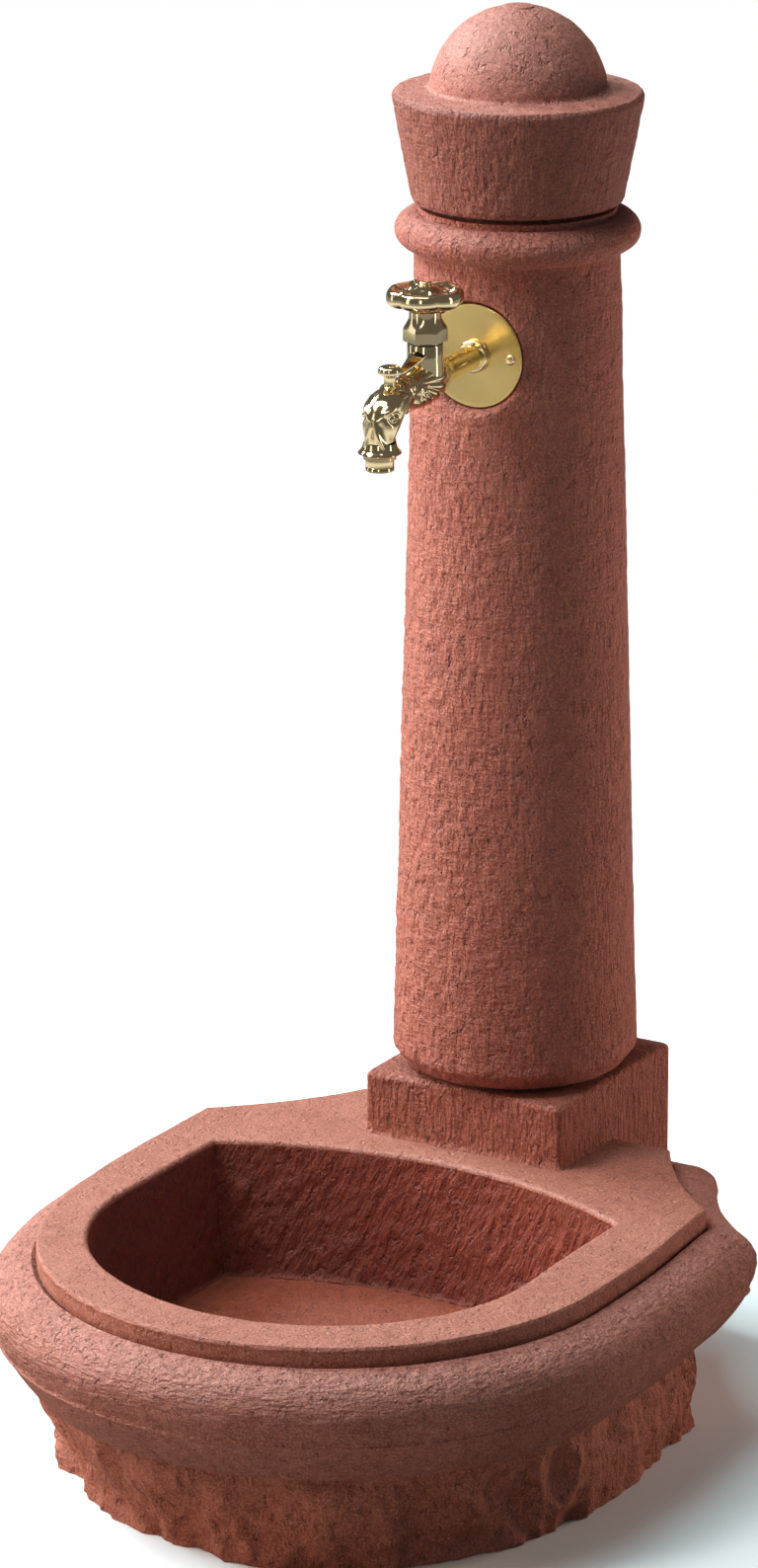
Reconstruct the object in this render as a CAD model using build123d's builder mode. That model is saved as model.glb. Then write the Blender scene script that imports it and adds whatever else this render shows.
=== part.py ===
"""Garden water fountain: cast stone basin, tapered column and domed cap, with a brass tap.

Millimetres. The origin is on the ground, on the axis of the column. +Z is up and the basin
reaches out towards -Y. The column stands turned by COLUMN_TURN on its plinth, so the tap,
its pad and its water way lie in a plane that is turned by the same angle.
"""
import os
from math import cos, radians, sin, sqrt

from build123d import *

os.makedirs("parts", exist_ok=True)

# Stone basin
SLAB_HALF_WIDTH = 235.0        # smooth top slab, from its middle to a straight side
SLAB_ROUND_OUT = 300.0         # centre of the round front, out from the column axis
SLAB_CORNER_OUT = 103.0        # back corners of the straight sides
SLAB_BACK_HALF_WIDTH = 145.0   # half width of the slab's back edge
SLAB_BACK_IN = 2.0             # back edge, behind the column axis
SLAB_HOLLOW = 7.0              # depth of the hollow curves that join corner and back edge
BASIN_HEIGHT = 186.0
SLAB_EDGE = 14.0               # height of the plain edge above the roll
SLAB_EDGE_RADIUS = 2.5
ROLL_OVERHANG = 51.0           # roll moulding, out from the edge of the slab
ROLL_QUIRK = 3.0               # groove between slab and roll
ROLL_TOP_DEPTH = 38.0          # from the top of the roll down to its widest line
ROLL_FOOT_DEPTH = 52.0         # from the widest line down to the foot of the roll
ROLL_FOOT_OVERHANG = 8.0
BASE_INSET = 5.0               # rough base wall, in from the edge of the slab

# Bowl
RIM_WIDTH = 49.0
BOWL_CORNER_OUT = 166.0
BOWL_BACK_OUT = 118.0          # middle of the curved back wall
BOWL_DEPTH = 114.0
BOWL_DRAFT = 5.0               # degrees
BOWL_FLOOR_RADIUS = 14.0
BOWL_MOUTH_RADIUS = 3.0

# Plinth block that carries the column, and its water way
PLINTH_HALF_WIDTH = 92.0
PLINTH_FRONT_OUT = 87.0
PLINTH_BACK_IN = 100.0
PLINTH_RISE = 53.0
PLINTH_EDGE_RADIUS = 6.0
SHAFT_BORE_RADIUS = 30.0
SUPPLY_HEIGHT = 100.0          # axis of the supply pipe that comes in at the back
SUPPLY_PASSAGE_RADIUS = 17.0
BORE_SUMP = 34.0               # depth of the bore below the supply axis
BORE_HEADROOM = 40.0           # height of the bore above the tap

# Column
JOINT_THICKNESS = 5.0          # mortar joint under the column
JOINT_RADIUS = 82.0
SHAFT_FOOT_RADIUS = 92.0
SHAFT_FOOT_CHAMFER = 13.0
SHAFT_RADIUS = 100.0           # widest, above the chamfer
SHAFT_TOP_RADIUS = 81.5
SHAFT_HEIGHT = 675.0           # from the foot to the collar
COLLAR_RADIUS = 97.7
COLLAR_HEIGHT = 29.0
SEAT_RADIUS = 79.0
SEAT_HEIGHT = 5.0
CAP_JOINT_THICKNESS = 4.0
CAP_JOINT_RADIUS = 74.0

# Cap
CAP_FOOT_RADIUS = 85.0
CAP_RADIUS = 100.0
CAP_CONE_HEIGHT = 82.0
CAP_SHOULDER = 6.0             # rounding of the cap's upper edge
CAP_TOP_RADIUS = 94.0
CAP_TOP_FALL = 2.0             # fall of the top face from the dome outwards
DOME_SINK = 4.0                # centre of the dome, below the cap's upper edge
DOME_RADIUS = 71.0
CAP_EDGE_RADIUS = 4.0
DOWEL_RADIUS = 6.0
DOWEL_LENGTH = 60.0
DOWEL_CIRCLE_RADIUS = 56.0
DOWEL_COUNT = 3
DOWEL_CLEARANCE = 0.3
DOWEL_START = 90.0             # degrees, first dowel at the back

# Tap: places on it are told by their distance out from the column axis
COLUMN_TURN = 3.5              # degrees, column and tap on the plinth
TAP_DROP = 72.5                # axis of the inlet pipe, below the collar
PAD_OUT = 75.0                 # flat pad on the round shaft
PAD_RADIUS = 43.5
PAD_LIP = 2.0                  # boss round the pad where the shaft curves away
TAP_PASSAGE_RADIUS = 14.0      # hole from the pad to the bore
ROSETTE_RADIUS = 41.5
ROSETTE_THICKNESS = 1.5
ROSETTE_CLEARANCE = 0.5        # round the inlet pipe
ROSETTE_SCREW_SIDE = 32.0
SCREW_RADIUS = 2.0
SCREW_LENGTH = 28.0
SCREW_HEAD_RADIUS = 4.2
SCREW_HEAD_HEIGHT = 2.6
SCREW_HEAD_ROUND = 1.6
SCREW_CLEARANCE = 0.3
PLUG_RADIUS = 3.5
PLUG_LENGTH = 30.0
INLET_RADIUS = 10.0
INLET_BORE_RADIUS = 7.0
INLET_END_OUT = 12.0           # end of the threaded tail, inside the elbow
INLET_THREAD_LENGTH = 15.0
INLET_COLLAR_RADIUS = 12.3
INLET_COLLAR_LENGTH = 3.6
VALVE_OUT = 160.5              # upright axis of the valve
GLOBE_HALF_WIDTH = 14.5
GLOBE_HALF_HEIGHT = 19.0
GLOBE_DROP = 1.0               # centre of the globe, below the inlet axis
GLOBE_SHOULDER_OUT = 146.0     # rear slope of the globe
GLOBE_SHOULDER_HALF_WIDTH = 13.5
GLOBE_SHOULDER_HALF_HEIGHT = 16.5
GLOBE_ROOT_OUT = 132.0         # where the globe swells from the pipe
SPOUT_HALF_WIDTH = 12.5
SPOUT_HALF_HEIGHT = 16.0
SPOUT_ROOT_OUT = 177.0
SPOUT_DROP = 4.0               # centre of the spout, below the inlet axis
SPOUT_WAIST_OUT = 195.0
SPOUT_WAIST_HALF_WIDTH = 12.0
SPOUT_WAIST_HALF_HEIGHT = 14.5
HEAD_OUT = 212.0               # animal head: back of the skull
HEAD_HALF_WIDTH = 13.5
HEAD_HALF_HEIGHT = 14.5
BROW_OUT = 230.0
BROW_DROP = 10.5
BROW_DIP = 45.0                # degrees below level
BROW_HALF_WIDTH = 14.5
BROW_HALF_DEPTH = 15.0
MUZZLE_OUT = 236.5
MUZZLE_DROP = 27.5
MUZZLE_DIP = 85.0
MUZZLE_RADIUS = 13.8
NECK_RADIUS = 14.0
NECK_TOP = 28.5                # above the inlet axis
VALVE_SEAT = -1.0              # face of the seat, above the inlet axis
SEAT_PLATE = 3.5
SEAT_HOLE_RADIUS = 5.0
SEAT_CAVITY_RADIUS = 7.5
SEAT_CAVITY_HEIGHT = 9.5
CHAMBER_RADIUS = 9.0
DIP_OUT = 130.0                # bore from the pipe down to the cavity under the seat
DIP_ANGLE = 22.5
DIP_RADIUS = 4.5
SPOUT_WAY_RADIUS = 4.5
SPOUT_WAY_RISE = 4.5           # level part of the spout's water way, above the inlet axis
SPOUT_WAY_BEND = 22.0
KNOB_OUT = 220.0
KNOB_STEM_FOOT = 8.0           # above the inlet axis, as are the next two
KNOB_FOOT = 17.0
KNOB_TOP = 23.5
KNOB_RADIUS = 9.2
KNOB_STEM_RADIUS = 4.6
KNOB_EDGE = 2.0
NOZZLE_OUT = 237.0
NOZZLE_RADIUS = 11.0
NOZZLE_BORE_RADIUS = 8.0
NOZZLE_MOUTH_DEPTH = 55.0      # nozzle mouth, below the inlet axis
NOZZLE_RING_HEIGHT = 9.0
NOZZLE_FLANGE_RADIUS = 12.6
NOZZLE_FLANGE_HEIGHT = 3.0
NOZZLE_SPIGOT_RADIUS = 9.5
NOZZLE_SPIGOT_HEIGHT = 8.0
LIP_RADIUS = 16.8
LIP_FOOT_RADIUS = 13.2
LIP_RISE = 2.0                 # widest line of the lip, above its foot
LIP_HEIGHT = 9.0

# Bonnet, spindle and valve
BONNET_FLATS = 30.0
BONNET_HEX_HEIGHT = 15.0
BONNET_TOP_RADIUS = 12.0
BONNET_TOP_HEIGHT = 9.5
BONNET_CHAMFER = 2.4
BONNET_SHANK_HEIGHT = 5.0
BONNET_GASKET = 1.5
THREAD_CLEARANCE = 0.05        # radial, threads and running fits
SPINDLE_SCREW_RADIUS = 6.5
SPINDLE_SCREW_LENGTH = 33.0
SPINDLE_RADIUS = 4.5
SPINDLE_LIFT = 5.0             # travel of the valve
SPINDLE_HEADROOM = 1.0         # over the screw when the tap is wide open
SPINDLE_SQUARE = 6.2
SPINDLE_SQUARE_LENGTH = 11.0
STUFFING_RADIUS = 8.0
STUFFING_DEPTH = 6.5
PACKING_HEIGHT = 3.2
GLAND_HEAD_RADIUS = 9.0
GLAND_HEAD_HEIGHT = 1.2
WASHER_RADIUS = 7.0
WASHER_THICKNESS = 3.0
JUMPER_RADIUS = 7.4
JUMPER_THICKNESS = 2.5
JUMPER_STEM_RADIUS = 2.8
JUMPER_STEM_LENGTH = 8.0
JUMPER_STUD_RADIUS = 1.9
JUMPER_STUD_PROUD = 0.8
WASHER_NUT_FLATS = 8.0
WASHER_NUT_HEIGHT = 3.2
JUMPER_PLAY = 0.1              # between spindle and jumper plate

# Handwheel
WHEEL_RADIUS = 30.6
WHEEL_HUB_RADIUS = 8.0
WHEEL_HUB_GAP = 1.0            # over the gland when the tap is shut
WHEEL_HUB_HEIGHT = 17.0
WHEEL_RIM_WIDTH = 8.4
WHEEL_RIM_HEIGHT = 8.2
WHEEL_RIM_RISE = 4.6           # rim's lower edge above the hub's lower edge
WHEEL_WEB_THICKNESS = 3.0
WHEEL_RIBS = 6
WHEEL_RIB_WIDTH = 3.4
WHEEL_RIB_PROUD = 0.8          # above the rim
WHEEL_RIB_DRAFT = 8.0          # degrees
WHEEL_WEB_FOOT = 4.0           # foot of the web, above the hub's foot
WHEEL_WEB_FALL = 2.5           # top of the web, below the hub's top
WHEEL_LOBE_START = 30.0
WHEEL_LOBE_RADIUS = 12.0
WHEEL_LOBE_DEPTH = 1.3
WHEEL_SCREW_RADIUS = 2.0
WHEEL_SCREW_LENGTH = 13.0
WHEEL_SCREW_HEAD_RADIUS = 5.0
WHEEL_SCREW_HEAD_HEIGHT = 3.5

# Water pipes inside the column and the plinth
RISER_RADIUS = 9.0
RISER_WALL = 1.0
ELBOW_BODY_RADIUS = 13.5
ELBOW_ARM = 28.0
ELBOW_ARM_RADIUS = 14.0
SOCKET_DEPTH = 14.0
ELBOW_WAY_RADIUS = 7.0
SEAL_THICKNESS = 2.0
SUPPLY_THREAD_RADIUS = 10.48   # half-inch pipe thread, outside
NIPPLE_PROUD = 25.0            # beyond the back of the plinth
NIPPLE_BARREL_RADIUS = 9.9     # plain part between the threads
NIPPLE_BORE_RADIUS = 7.5
GROMMET_LENGTH = 10.0
GROMMET_FLANGE_RADIUS = 21.0
GROMMET_FLANGE = 2.0
GROMMET_CLEARANCE = 0.3

# Drain
DRAIN_OUT = 300.0
DRAIN_POCKET_RADIUS = 50.0
DRAIN_POCKET_HEIGHT = 40.0
DRAIN_RADIUS = 23.9            # inch and a half pipe thread, outside
DRAIN_THREAD_END = 22.0        # above the ground, as is the end of the spigot
DRAIN_END = 4.0
DRAIN_SPIGOT_RADIUS = 21.5
DRAIN_BORE_RADIUS = 18.5
DRAIN_HOLE_CLEARANCE = 1.6
DRAIN_FLANGE_RADIUS = 36.0
DRAIN_FLANGE = 4.0
DRAIN_RECESS_CLEARANCE = 1.0
DRAIN_GASKET = 1.5
DRAIN_NUT_FLATS = 62.0
DRAIN_NUT_HEIGHT = 8.0
DRAIN_WASHER_RADIUS = 36.0
DRAIN_WASHER = 3.0
STRAINER_RADIUS = 33.0
STRAINER_THICKNESS = 2.0
STRAINER_HOLE_RADIUS = 3.0
STRAINER_HOLE_CIRCLE = 13.0
STRAINER_HOLES = 8
BRIDGE_WIDTH = 8.0
BRIDGE_HEIGHT = 5.0
BRIDGE_DEPTH = 6.0             # below the strainer
STRAINER_SCREW_RADIUS = 2.5
STRAINER_SCREW_HEAD_RADIUS = 5.0
STRAINER_SCREW_HEAD = 2.5

# Places that follow from the sizes above
SLAB_FOOT = BASIN_HEIGHT - SLAB_EDGE
ROLL_WIDEST_HEIGHT = SLAB_FOOT - ROLL_TOP_DEPTH
ROLL_FOOT_HEIGHT = ROLL_WIDEST_HEIGHT - ROLL_FOOT_DEPTH
BOWL_FLOOR = BASIN_HEIGHT - BOWL_DEPTH
BOWL_HALF_WIDTH = SLAB_HALF_WIDTH - RIM_WIDTH
PLINTH_TOP = BASIN_HEIGHT + PLINTH_RISE
SHAFT_FOOT = PLINTH_TOP + JOINT_THICKNESS
COLLAR_FOOT = SHAFT_FOOT + SHAFT_HEIGHT
COLLAR_TOP = COLLAR_FOOT + COLLAR_HEIGHT
SEAT_TOP = COLLAR_TOP + SEAT_HEIGHT
CAP_FOOT = SEAT_TOP + CAP_JOINT_THICKNESS
CAP_WIDEST = CAP_FOOT + CAP_CONE_HEIGHT
CAP_TOP = CAP_WIDEST + CAP_SHOULDER
DOME_CENTRE = CAP_TOP - DOME_SINK
DOWEL_FOOT = PLINTH_TOP + JOINT_THICKNESS / 2 - DOWEL_LENGTH / 2
CAP_DOWEL_FOOT = SEAT_TOP + CAP_JOINT_THICKNESS / 2 - DOWEL_LENGTH / 2
DOWEL_HOLE_RADIUS = DOWEL_RADIUS + DOWEL_CLEARANCE
DOWEL_HOLE_FOOT = DOWEL_FOOT - DOWEL_CLEARANCE
DOWEL_HOLE_LENGTH = DOWEL_LENGTH + 2 * DOWEL_CLEARANCE
TAP_HEIGHT = COLLAR_FOOT - TAP_DROP
SHAFT_BORE_FOOT = SUPPLY_HEIGHT - BORE_SUMP
SHAFT_BORE_TOP = TAP_HEIGHT + BORE_HEADROOM
TAP_OUT = Vector(sin(radians(COLUMN_TURN)), -cos(radians(COLUMN_TURN)), 0)
TAP_SIDE = Vector(cos(radians(COLUMN_TURN)), sin(radians(COLUMN_TURN)), 0)
ROSETTE_FACE = PAD_OUT + ROSETTE_THICKNESS
NECK_TOP_HEIGHT = TAP_HEIGHT + NECK_TOP
SEAT_FACE = TAP_HEIGHT + VALVE_SEAT
NOZZLE_MOUTH = TAP_HEIGHT - NOZZLE_MOUTH_DEPTH
NOZZLE_FLANGE_FOOT = NOZZLE_MOUTH + NOZZLE_RING_HEIGHT
LIP_FOOT = NOZZLE_FLANGE_FOOT + NOZZLE_FLANGE_HEIGHT
HEX_FOOT = NECK_TOP_HEIGHT + BONNET_GASKET
HEX_TOP = HEX_FOOT + BONNET_HEX_HEIGHT
BONNET_TOP = HEX_TOP + BONNET_TOP_HEIGHT
STUFFING_FOOT = BONNET_TOP - STUFFING_DEPTH
WASHER_TOP = SEAT_FACE + WASHER_THICKNESS
JUMPER_TOP = WASHER_TOP + JUMPER_THICKNESS
SPINDLE_FOOT = JUMPER_TOP + JUMPER_PLAY
SPINDLE_SHOULDER = SPINDLE_FOOT + SPINDLE_SCREW_LENGTH
SCREW_BORE_TOP = SPINDLE_SHOULDER + SPINDLE_LIFT + SPINDLE_HEADROOM
HUB_FOOT = BONNET_TOP + GLAND_HEAD_HEIGHT + WHEEL_HUB_GAP
HUB_TOP = HUB_FOOT + WHEEL_HUB_HEIGHT
SPINDLE_TOP = HUB_FOOT + SPINDLE_SQUARE_LENGTH
CAVITY_TOP = SEAT_FACE - SEAT_PLATE
CAVITY_FOOT = CAVITY_TOP - SEAT_CAVITY_HEIGHT
SPOUT_WAY_HEIGHT = TAP_HEIGHT + SPOUT_WAY_RISE
BRIDGE_TOP = BOWL_FLOOR - STRAINER_THICKNESS - BRIDGE_DEPTH
RIM_MIDDLE = HUB_FOOT + WHEEL_RIM_RISE + WHEEL_RIM_HEIGHT / 2
WHEEL_SCALLOP_CIRCLE = WHEEL_RADIUS + WHEEL_LOBE_RADIUS - WHEEL_LOBE_DEPTH
WHEEL_RIB_LENGTH = WHEEL_RADIUS - WHEEL_HUB_RADIUS - 2 * WHEEL_LOBE_DEPTH
WHEEL_RIB_CIRCLE = WHEEL_HUB_RADIUS + WHEEL_LOBE_DEPTH / 2 + WHEEL_RIB_LENGTH / 2
DRAIN_FLANGE_FOOT = BOWL_FLOOR - DRAIN_FLANGE
DRAIN_RECESS_FLOOR = DRAIN_FLANGE_FOOT - DRAIN_GASKET


PROFILE = Plane(origin=(0, 0, 0), x_dir=TAP_OUT, z_dir=-TAP_SIDE)


def level(height, out):
    """Level plane over a place on the tap: x to its side, y inwards."""
    return Plane(origin=TAP_OUT * out + Vector(0, 0, height), x_dir=TAP_SIDE, z_dir=(0, 0, 1))


def facing(out, rise=0, dip=0):
    """Plane across the tap at a rise over the inlet axis, looking outwards and down by dip degrees."""
    towards = TAP_OUT * cos(radians(dip)) - Vector(0, 0, sin(radians(dip)))
    return Plane(origin=TAP_OUT * out + Vector(0, 0, TAP_HEIGHT + rise), x_dir=TAP_SIDE, z_dir=towards)


def supply_plane(back):
    """Upright plane across the supply pipe, looking out of the back of the plinth."""
    return Plane(origin=(0, back, SUPPLY_HEIGHT), x_dir=(-1, 0, 0), z_dir=(0, 1, 0))


def drain_plane(height):
    """Level plane on the axis of the drain."""
    return Plane.XY.offset(height).shift_origin((0, -DRAIN_OUT, height))


def basin_plan(grow):
    """Face of the basin's plan on the ground plane, grown outwards by grow."""
    width = SLAB_HALF_WIDTH + grow
    back_width = SLAB_BACK_HALF_WIDTH + grow
    corner = -SLAB_CORNER_OUT + grow / 2
    back = SLAB_BACK_IN + grow
    with BuildSketch() as plan:
        with BuildLine():
            ThreePointArc((-width, -SLAB_ROUND_OUT), (0, -SLAB_ROUND_OUT - width), (width, -SLAB_ROUND_OUT))
            Line((width, -SLAB_ROUND_OUT), (width, corner))
            SagittaArc((width, corner), (back_width, back), SLAB_HOLLOW)
            Line((back_width, back), (-back_width, back))
            SagittaArc((-back_width, back), (-width, corner), SLAB_HOLLOW)
            Line((-width, corner), (-width, -SLAB_ROUND_OUT))
        make_face()
    return plan.sketch


slab_face = basin_plan(0)

with BuildPart() as bowl_space:
    with BuildSketch(Plane.XY.offset(BASIN_HEIGHT)):
        with BuildLine():
            ThreePointArc(
                (-BOWL_HALF_WIDTH, -SLAB_ROUND_OUT),
                (0, -SLAB_ROUND_OUT - BOWL_HALF_WIDTH),
                (BOWL_HALF_WIDTH, -SLAB_ROUND_OUT),
            )
            Line((BOWL_HALF_WIDTH, -SLAB_ROUND_OUT), (BOWL_HALF_WIDTH, -BOWL_CORNER_OUT))
            ThreePointArc(
                (BOWL_HALF_WIDTH, -BOWL_CORNER_OUT),
                (0, -BOWL_BACK_OUT),
                (-BOWL_HALF_WIDTH, -BOWL_CORNER_OUT),
            )
            Line((-BOWL_HALF_WIDTH, -BOWL_CORNER_OUT), (-BOWL_HALF_WIDTH, -SLAB_ROUND_OUT))
        make_face()
    extrude(amount=-BOWL_DEPTH, taper=BOWL_DRAFT)
    fillet(bowl_space.faces().sort_by(Axis.Z)[0].edges(), BOWL_FLOOR_RADIUS)


dip_length = (VALVE_OUT - SEAT_CAVITY_RADIUS / 2 - DIP_OUT) / cos(radians(DIP_ANGLE))

with BuildLine(PROFILE) as spout_way:
    bend_out = NOZZLE_OUT - SPOUT_WAY_BEND
    bend_foot = SPOUT_WAY_HEIGHT - SPOUT_WAY_BEND
    Line((VALVE_OUT, SPOUT_WAY_HEIGHT), (bend_out, SPOUT_WAY_HEIGHT))
    CenterArc((bend_out, bend_foot), SPOUT_WAY_BEND, 90, -90)
    Line((NOZZLE_OUT, bend_foot), (NOZZLE_OUT, LIP_FOOT + NOZZLE_SPIGOT_HEIGHT))

with BuildPart() as basin:
    # slab core above the foot of the roll, then the rough base under it
    with BuildSketch(Plane.XY.offset(ROLL_FOOT_HEIGHT)):
        add(slab_face)
    extrude(amount=BASIN_HEIGHT - ROLL_FOOT_HEIGHT)
    fillet(basin.faces().sort_by(Axis.Z)[-1].edges(), SLAB_EDGE_RADIUS)
    with BuildSketch(Plane.XY):
        add(basin_plan(-BASE_INSET))
    extrude(amount=ROLL_FOOT_HEIGHT)
    # roll moulding, mitred at the corners of the slab
    with BuildSketch(Plane((0, -SLAB_ROUND_OUT - SLAB_HALF_WIDTH, 0), x_dir=(0, -1, 0), z_dir=(-1, 0, 0))):
        with BuildLine():
            Line((0, ROLL_FOOT_HEIGHT), (ROLL_FOOT_OVERHANG, ROLL_FOOT_HEIGHT))
            EllipticalCenterArc(
                (ROLL_FOOT_OVERHANG, ROLL_WIDEST_HEIGHT),
                ROLL_OVERHANG - ROLL_FOOT_OVERHANG,
                ROLL_FOOT_DEPTH,
                start_angle=270,
                arc_size=90,
            )
            EllipticalCenterArc(
                (ROLL_QUIRK, ROLL_WIDEST_HEIGHT),
                ROLL_OVERHANG - ROLL_QUIRK,
                ROLL_TOP_DEPTH,
                start_angle=0,
                arc_size=90,
            )
            Line((ROLL_QUIRK, SLAB_FOOT), (0, SLAB_FOOT))
            Line((0, SLAB_FOOT), (0, ROLL_FOOT_HEIGHT))
        make_face()
    sweep(path=slab_face.face().outer_wire(), transition=Transition.RIGHT)
    # plinth block for the column
    with BuildSketch(Plane.XY):
        with Locations((0, (PLINTH_BACK_IN - PLINTH_FRONT_OUT) / 2)):
            RectangleRounded(2 * PLINTH_HALF_WIDTH, PLINTH_BACK_IN + PLINTH_FRONT_OUT, PLINTH_EDGE_RADIUS)
    extrude(amount=PLINTH_TOP)
    fillet(basin.faces().sort_by(Axis.Z)[-1].edges(), PLINTH_EDGE_RADIUS)
    add(bowl_space.part, mode=Mode.SUBTRACT)
    mouth = basin.edges().filter_by_position(Axis.Z, BASIN_HEIGHT - 0.01, BASIN_HEIGHT + 0.01)
    mouth = mouth.filter_by_position(Axis.X, -BOWL_HALF_WIDTH - 1, BOWL_HALF_WIDTH + 1)
    mouth = mouth.filter_by_position(Axis.Y, -SLAB_ROUND_OUT - BOWL_HALF_WIDTH - 1, -BOWL_BACK_OUT + 1)
    fillet(mouth, BOWL_MOUTH_RADIUS)
    # bore for the riser, with the passage for the supply at the back
    with BuildSketch(Plane.XY.offset(SHAFT_BORE_FOOT)):
        Circle(SHAFT_BORE_RADIUS)
    extrude(amount=PLINTH_TOP - SHAFT_BORE_FOOT, mode=Mode.SUBTRACT)
    with BuildSketch(supply_plane(0)):
        Circle(SUPPLY_PASSAGE_RADIUS)
    extrude(amount=PLINTH_BACK_IN, mode=Mode.SUBTRACT)
    with BuildSketch(Plane.XY.offset(DOWEL_HOLE_FOOT)):
        with PolarLocations(DOWEL_CIRCLE_RADIUS, DOWEL_COUNT, start_angle=DOWEL_START):
            Circle(DOWEL_HOLE_RADIUS)
    extrude(amount=DOWEL_HOLE_LENGTH, mode=Mode.SUBTRACT)
    # hole, recess and pocket for the drain
    with BuildSketch(Plane.XY.offset(DRAIN_RECESS_FLOOR)):
        with Locations((0, -DRAIN_OUT)):
            Circle(DRAIN_FLANGE_RADIUS + DRAIN_RECESS_CLEARANCE)
    extrude(amount=BOWL_FLOOR - DRAIN_RECESS_FLOOR, mode=Mode.SUBTRACT)
    with BuildSketch(Plane.XY.offset(DRAIN_POCKET_HEIGHT)):
        with Locations((0, -DRAIN_OUT)):
            Circle(DRAIN_RADIUS + DRAIN_HOLE_CLEARANCE)
    extrude(amount=DRAIN_RECESS_FLOOR - DRAIN_POCKET_HEIGHT, mode=Mode.SUBTRACT)
    with BuildSketch(Plane.XY):
        with Locations((0, -DRAIN_OUT)):
            Circle(DRAIN_POCKET_RADIUS)
    extrude(amount=DRAIN_POCKET_HEIGHT, mode=Mode.SUBTRACT)
basin.part.label = "basin"
export_step(basin.part, "parts/basin.step")

with BuildPart() as column_joint:
    with BuildSketch(Plane.XY.offset(PLINTH_TOP)):
        Circle(JOINT_RADIUS)
        Circle(SHAFT_BORE_RADIUS, mode=Mode.SUBTRACT)
        with PolarLocations(DOWEL_CIRCLE_RADIUS, DOWEL_COUNT, start_angle=DOWEL_START):
            Circle(DOWEL_HOLE_RADIUS, mode=Mode.SUBTRACT)
    extrude(amount=JOINT_THICKNESS)
column_joint.part.label = "column_joint"
export_step(column_joint.part, "parts/column_joint.step")

with BuildPart() as column_dowels:
    with BuildSketch(Plane.XY.offset(DOWEL_FOOT)):
        with PolarLocations(DOWEL_CIRCLE_RADIUS, DOWEL_COUNT, start_angle=DOWEL_START):
            Circle(DOWEL_RADIUS)
    extrude(amount=DOWEL_LENGTH)
column_dowels.part.label = "column_dowels"
export_step(column_dowels.part, "parts/column_dowels.step")

with BuildPart() as column:
    with BuildSketch(Plane.XZ):
        with BuildLine():
            Line((0, SHAFT_FOOT), (SHAFT_FOOT_RADIUS, SHAFT_FOOT))
            Line((SHAFT_FOOT_RADIUS, SHAFT_FOOT), (SHAFT_RADIUS, SHAFT_FOOT + SHAFT_FOOT_CHAMFER))
            Line((SHAFT_RADIUS, SHAFT_FOOT + SHAFT_FOOT_CHAMFER), (SHAFT_TOP_RADIUS, COLLAR_FOOT))
            ThreePointArc(
                (SHAFT_TOP_RADIUS, COLLAR_FOOT),
                (COLLAR_RADIUS, COLLAR_FOOT + COLLAR_HEIGHT / 2),
                (SEAT_RADIUS, COLLAR_TOP),
            )
            Line((SEAT_RADIUS, COLLAR_TOP), (SEAT_RADIUS, SEAT_TOP))
            Line((SEAT_RADIUS, SEAT_TOP), (0, SEAT_TOP))
            Line((0, SEAT_TOP), (0, SHAFT_FOOT))
        make_face()
    revolve(axis=Axis.Z)
    # boss and recess of the flat pad behind the tap
    with BuildSketch(facing(0)):
        Circle(PAD_RADIUS + PAD_LIP)
    extrude(amount=PAD_OUT)
    with BuildSketch(facing(PAD_OUT)):
        Circle(PAD_RADIUS)
    extrude(amount=SHAFT_RADIUS - PAD_OUT, mode=Mode.SUBTRACT)
    # bore for the riser, passage for the tap, plug holes and dowel holes
    with BuildSketch(Plane.XY.offset(SHAFT_FOOT)):
        Circle(SHAFT_BORE_RADIUS)
    extrude(amount=SHAFT_BORE_TOP - SHAFT_FOOT, mode=Mode.SUBTRACT)
    with BuildSketch(facing(0)):
        Circle(TAP_PASSAGE_RADIUS)
    extrude(amount=PAD_OUT, mode=Mode.SUBTRACT)
    with BuildSketch(facing(PAD_OUT)):
        with Locations((-ROSETTE_SCREW_SIDE, 0), (ROSETTE_SCREW_SIDE, 0)):
            Circle(PLUG_RADIUS)
    extrude(amount=-PLUG_LENGTH - SCREW_CLEARANCE, mode=Mode.SUBTRACT)
    with BuildSketch(Plane.XY.offset(DOWEL_HOLE_FOOT)):
        with PolarLocations(DOWEL_CIRCLE_RADIUS, DOWEL_COUNT, start_angle=DOWEL_START):
            Circle(DOWEL_HOLE_RADIUS)
    extrude(amount=DOWEL_HOLE_LENGTH, mode=Mode.SUBTRACT)
    with BuildSketch(Plane.XY.offset(CAP_DOWEL_FOOT - DOWEL_CLEARANCE)):
        Circle(DOWEL_HOLE_RADIUS)
    extrude(amount=DOWEL_HOLE_LENGTH, mode=Mode.SUBTRACT)
column.part.label = "column"
export_step(column.part, "parts/column.step")

with BuildPart() as cap_joint:
    with BuildSketch(Plane.XY.offset(SEAT_TOP)):
        Circle(CAP_JOINT_RADIUS)
        Circle(DOWEL_HOLE_RADIUS, mode=Mode.SUBTRACT)
    extrude(amount=CAP_JOINT_THICKNESS)
cap_joint.part.label = "cap_joint"
export_step(cap_joint.part, "parts/cap_joint.step")

with BuildPart() as cap_dowel:
    with BuildSketch(Plane.XY.offset(CAP_DOWEL_FOOT)):
        Circle(DOWEL_RADIUS)
    extrude(amount=DOWEL_LENGTH)
cap_dowel.part.label = "cap_dowel"
export_step(cap_dowel.part, "parts/cap_dowel.step")

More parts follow.
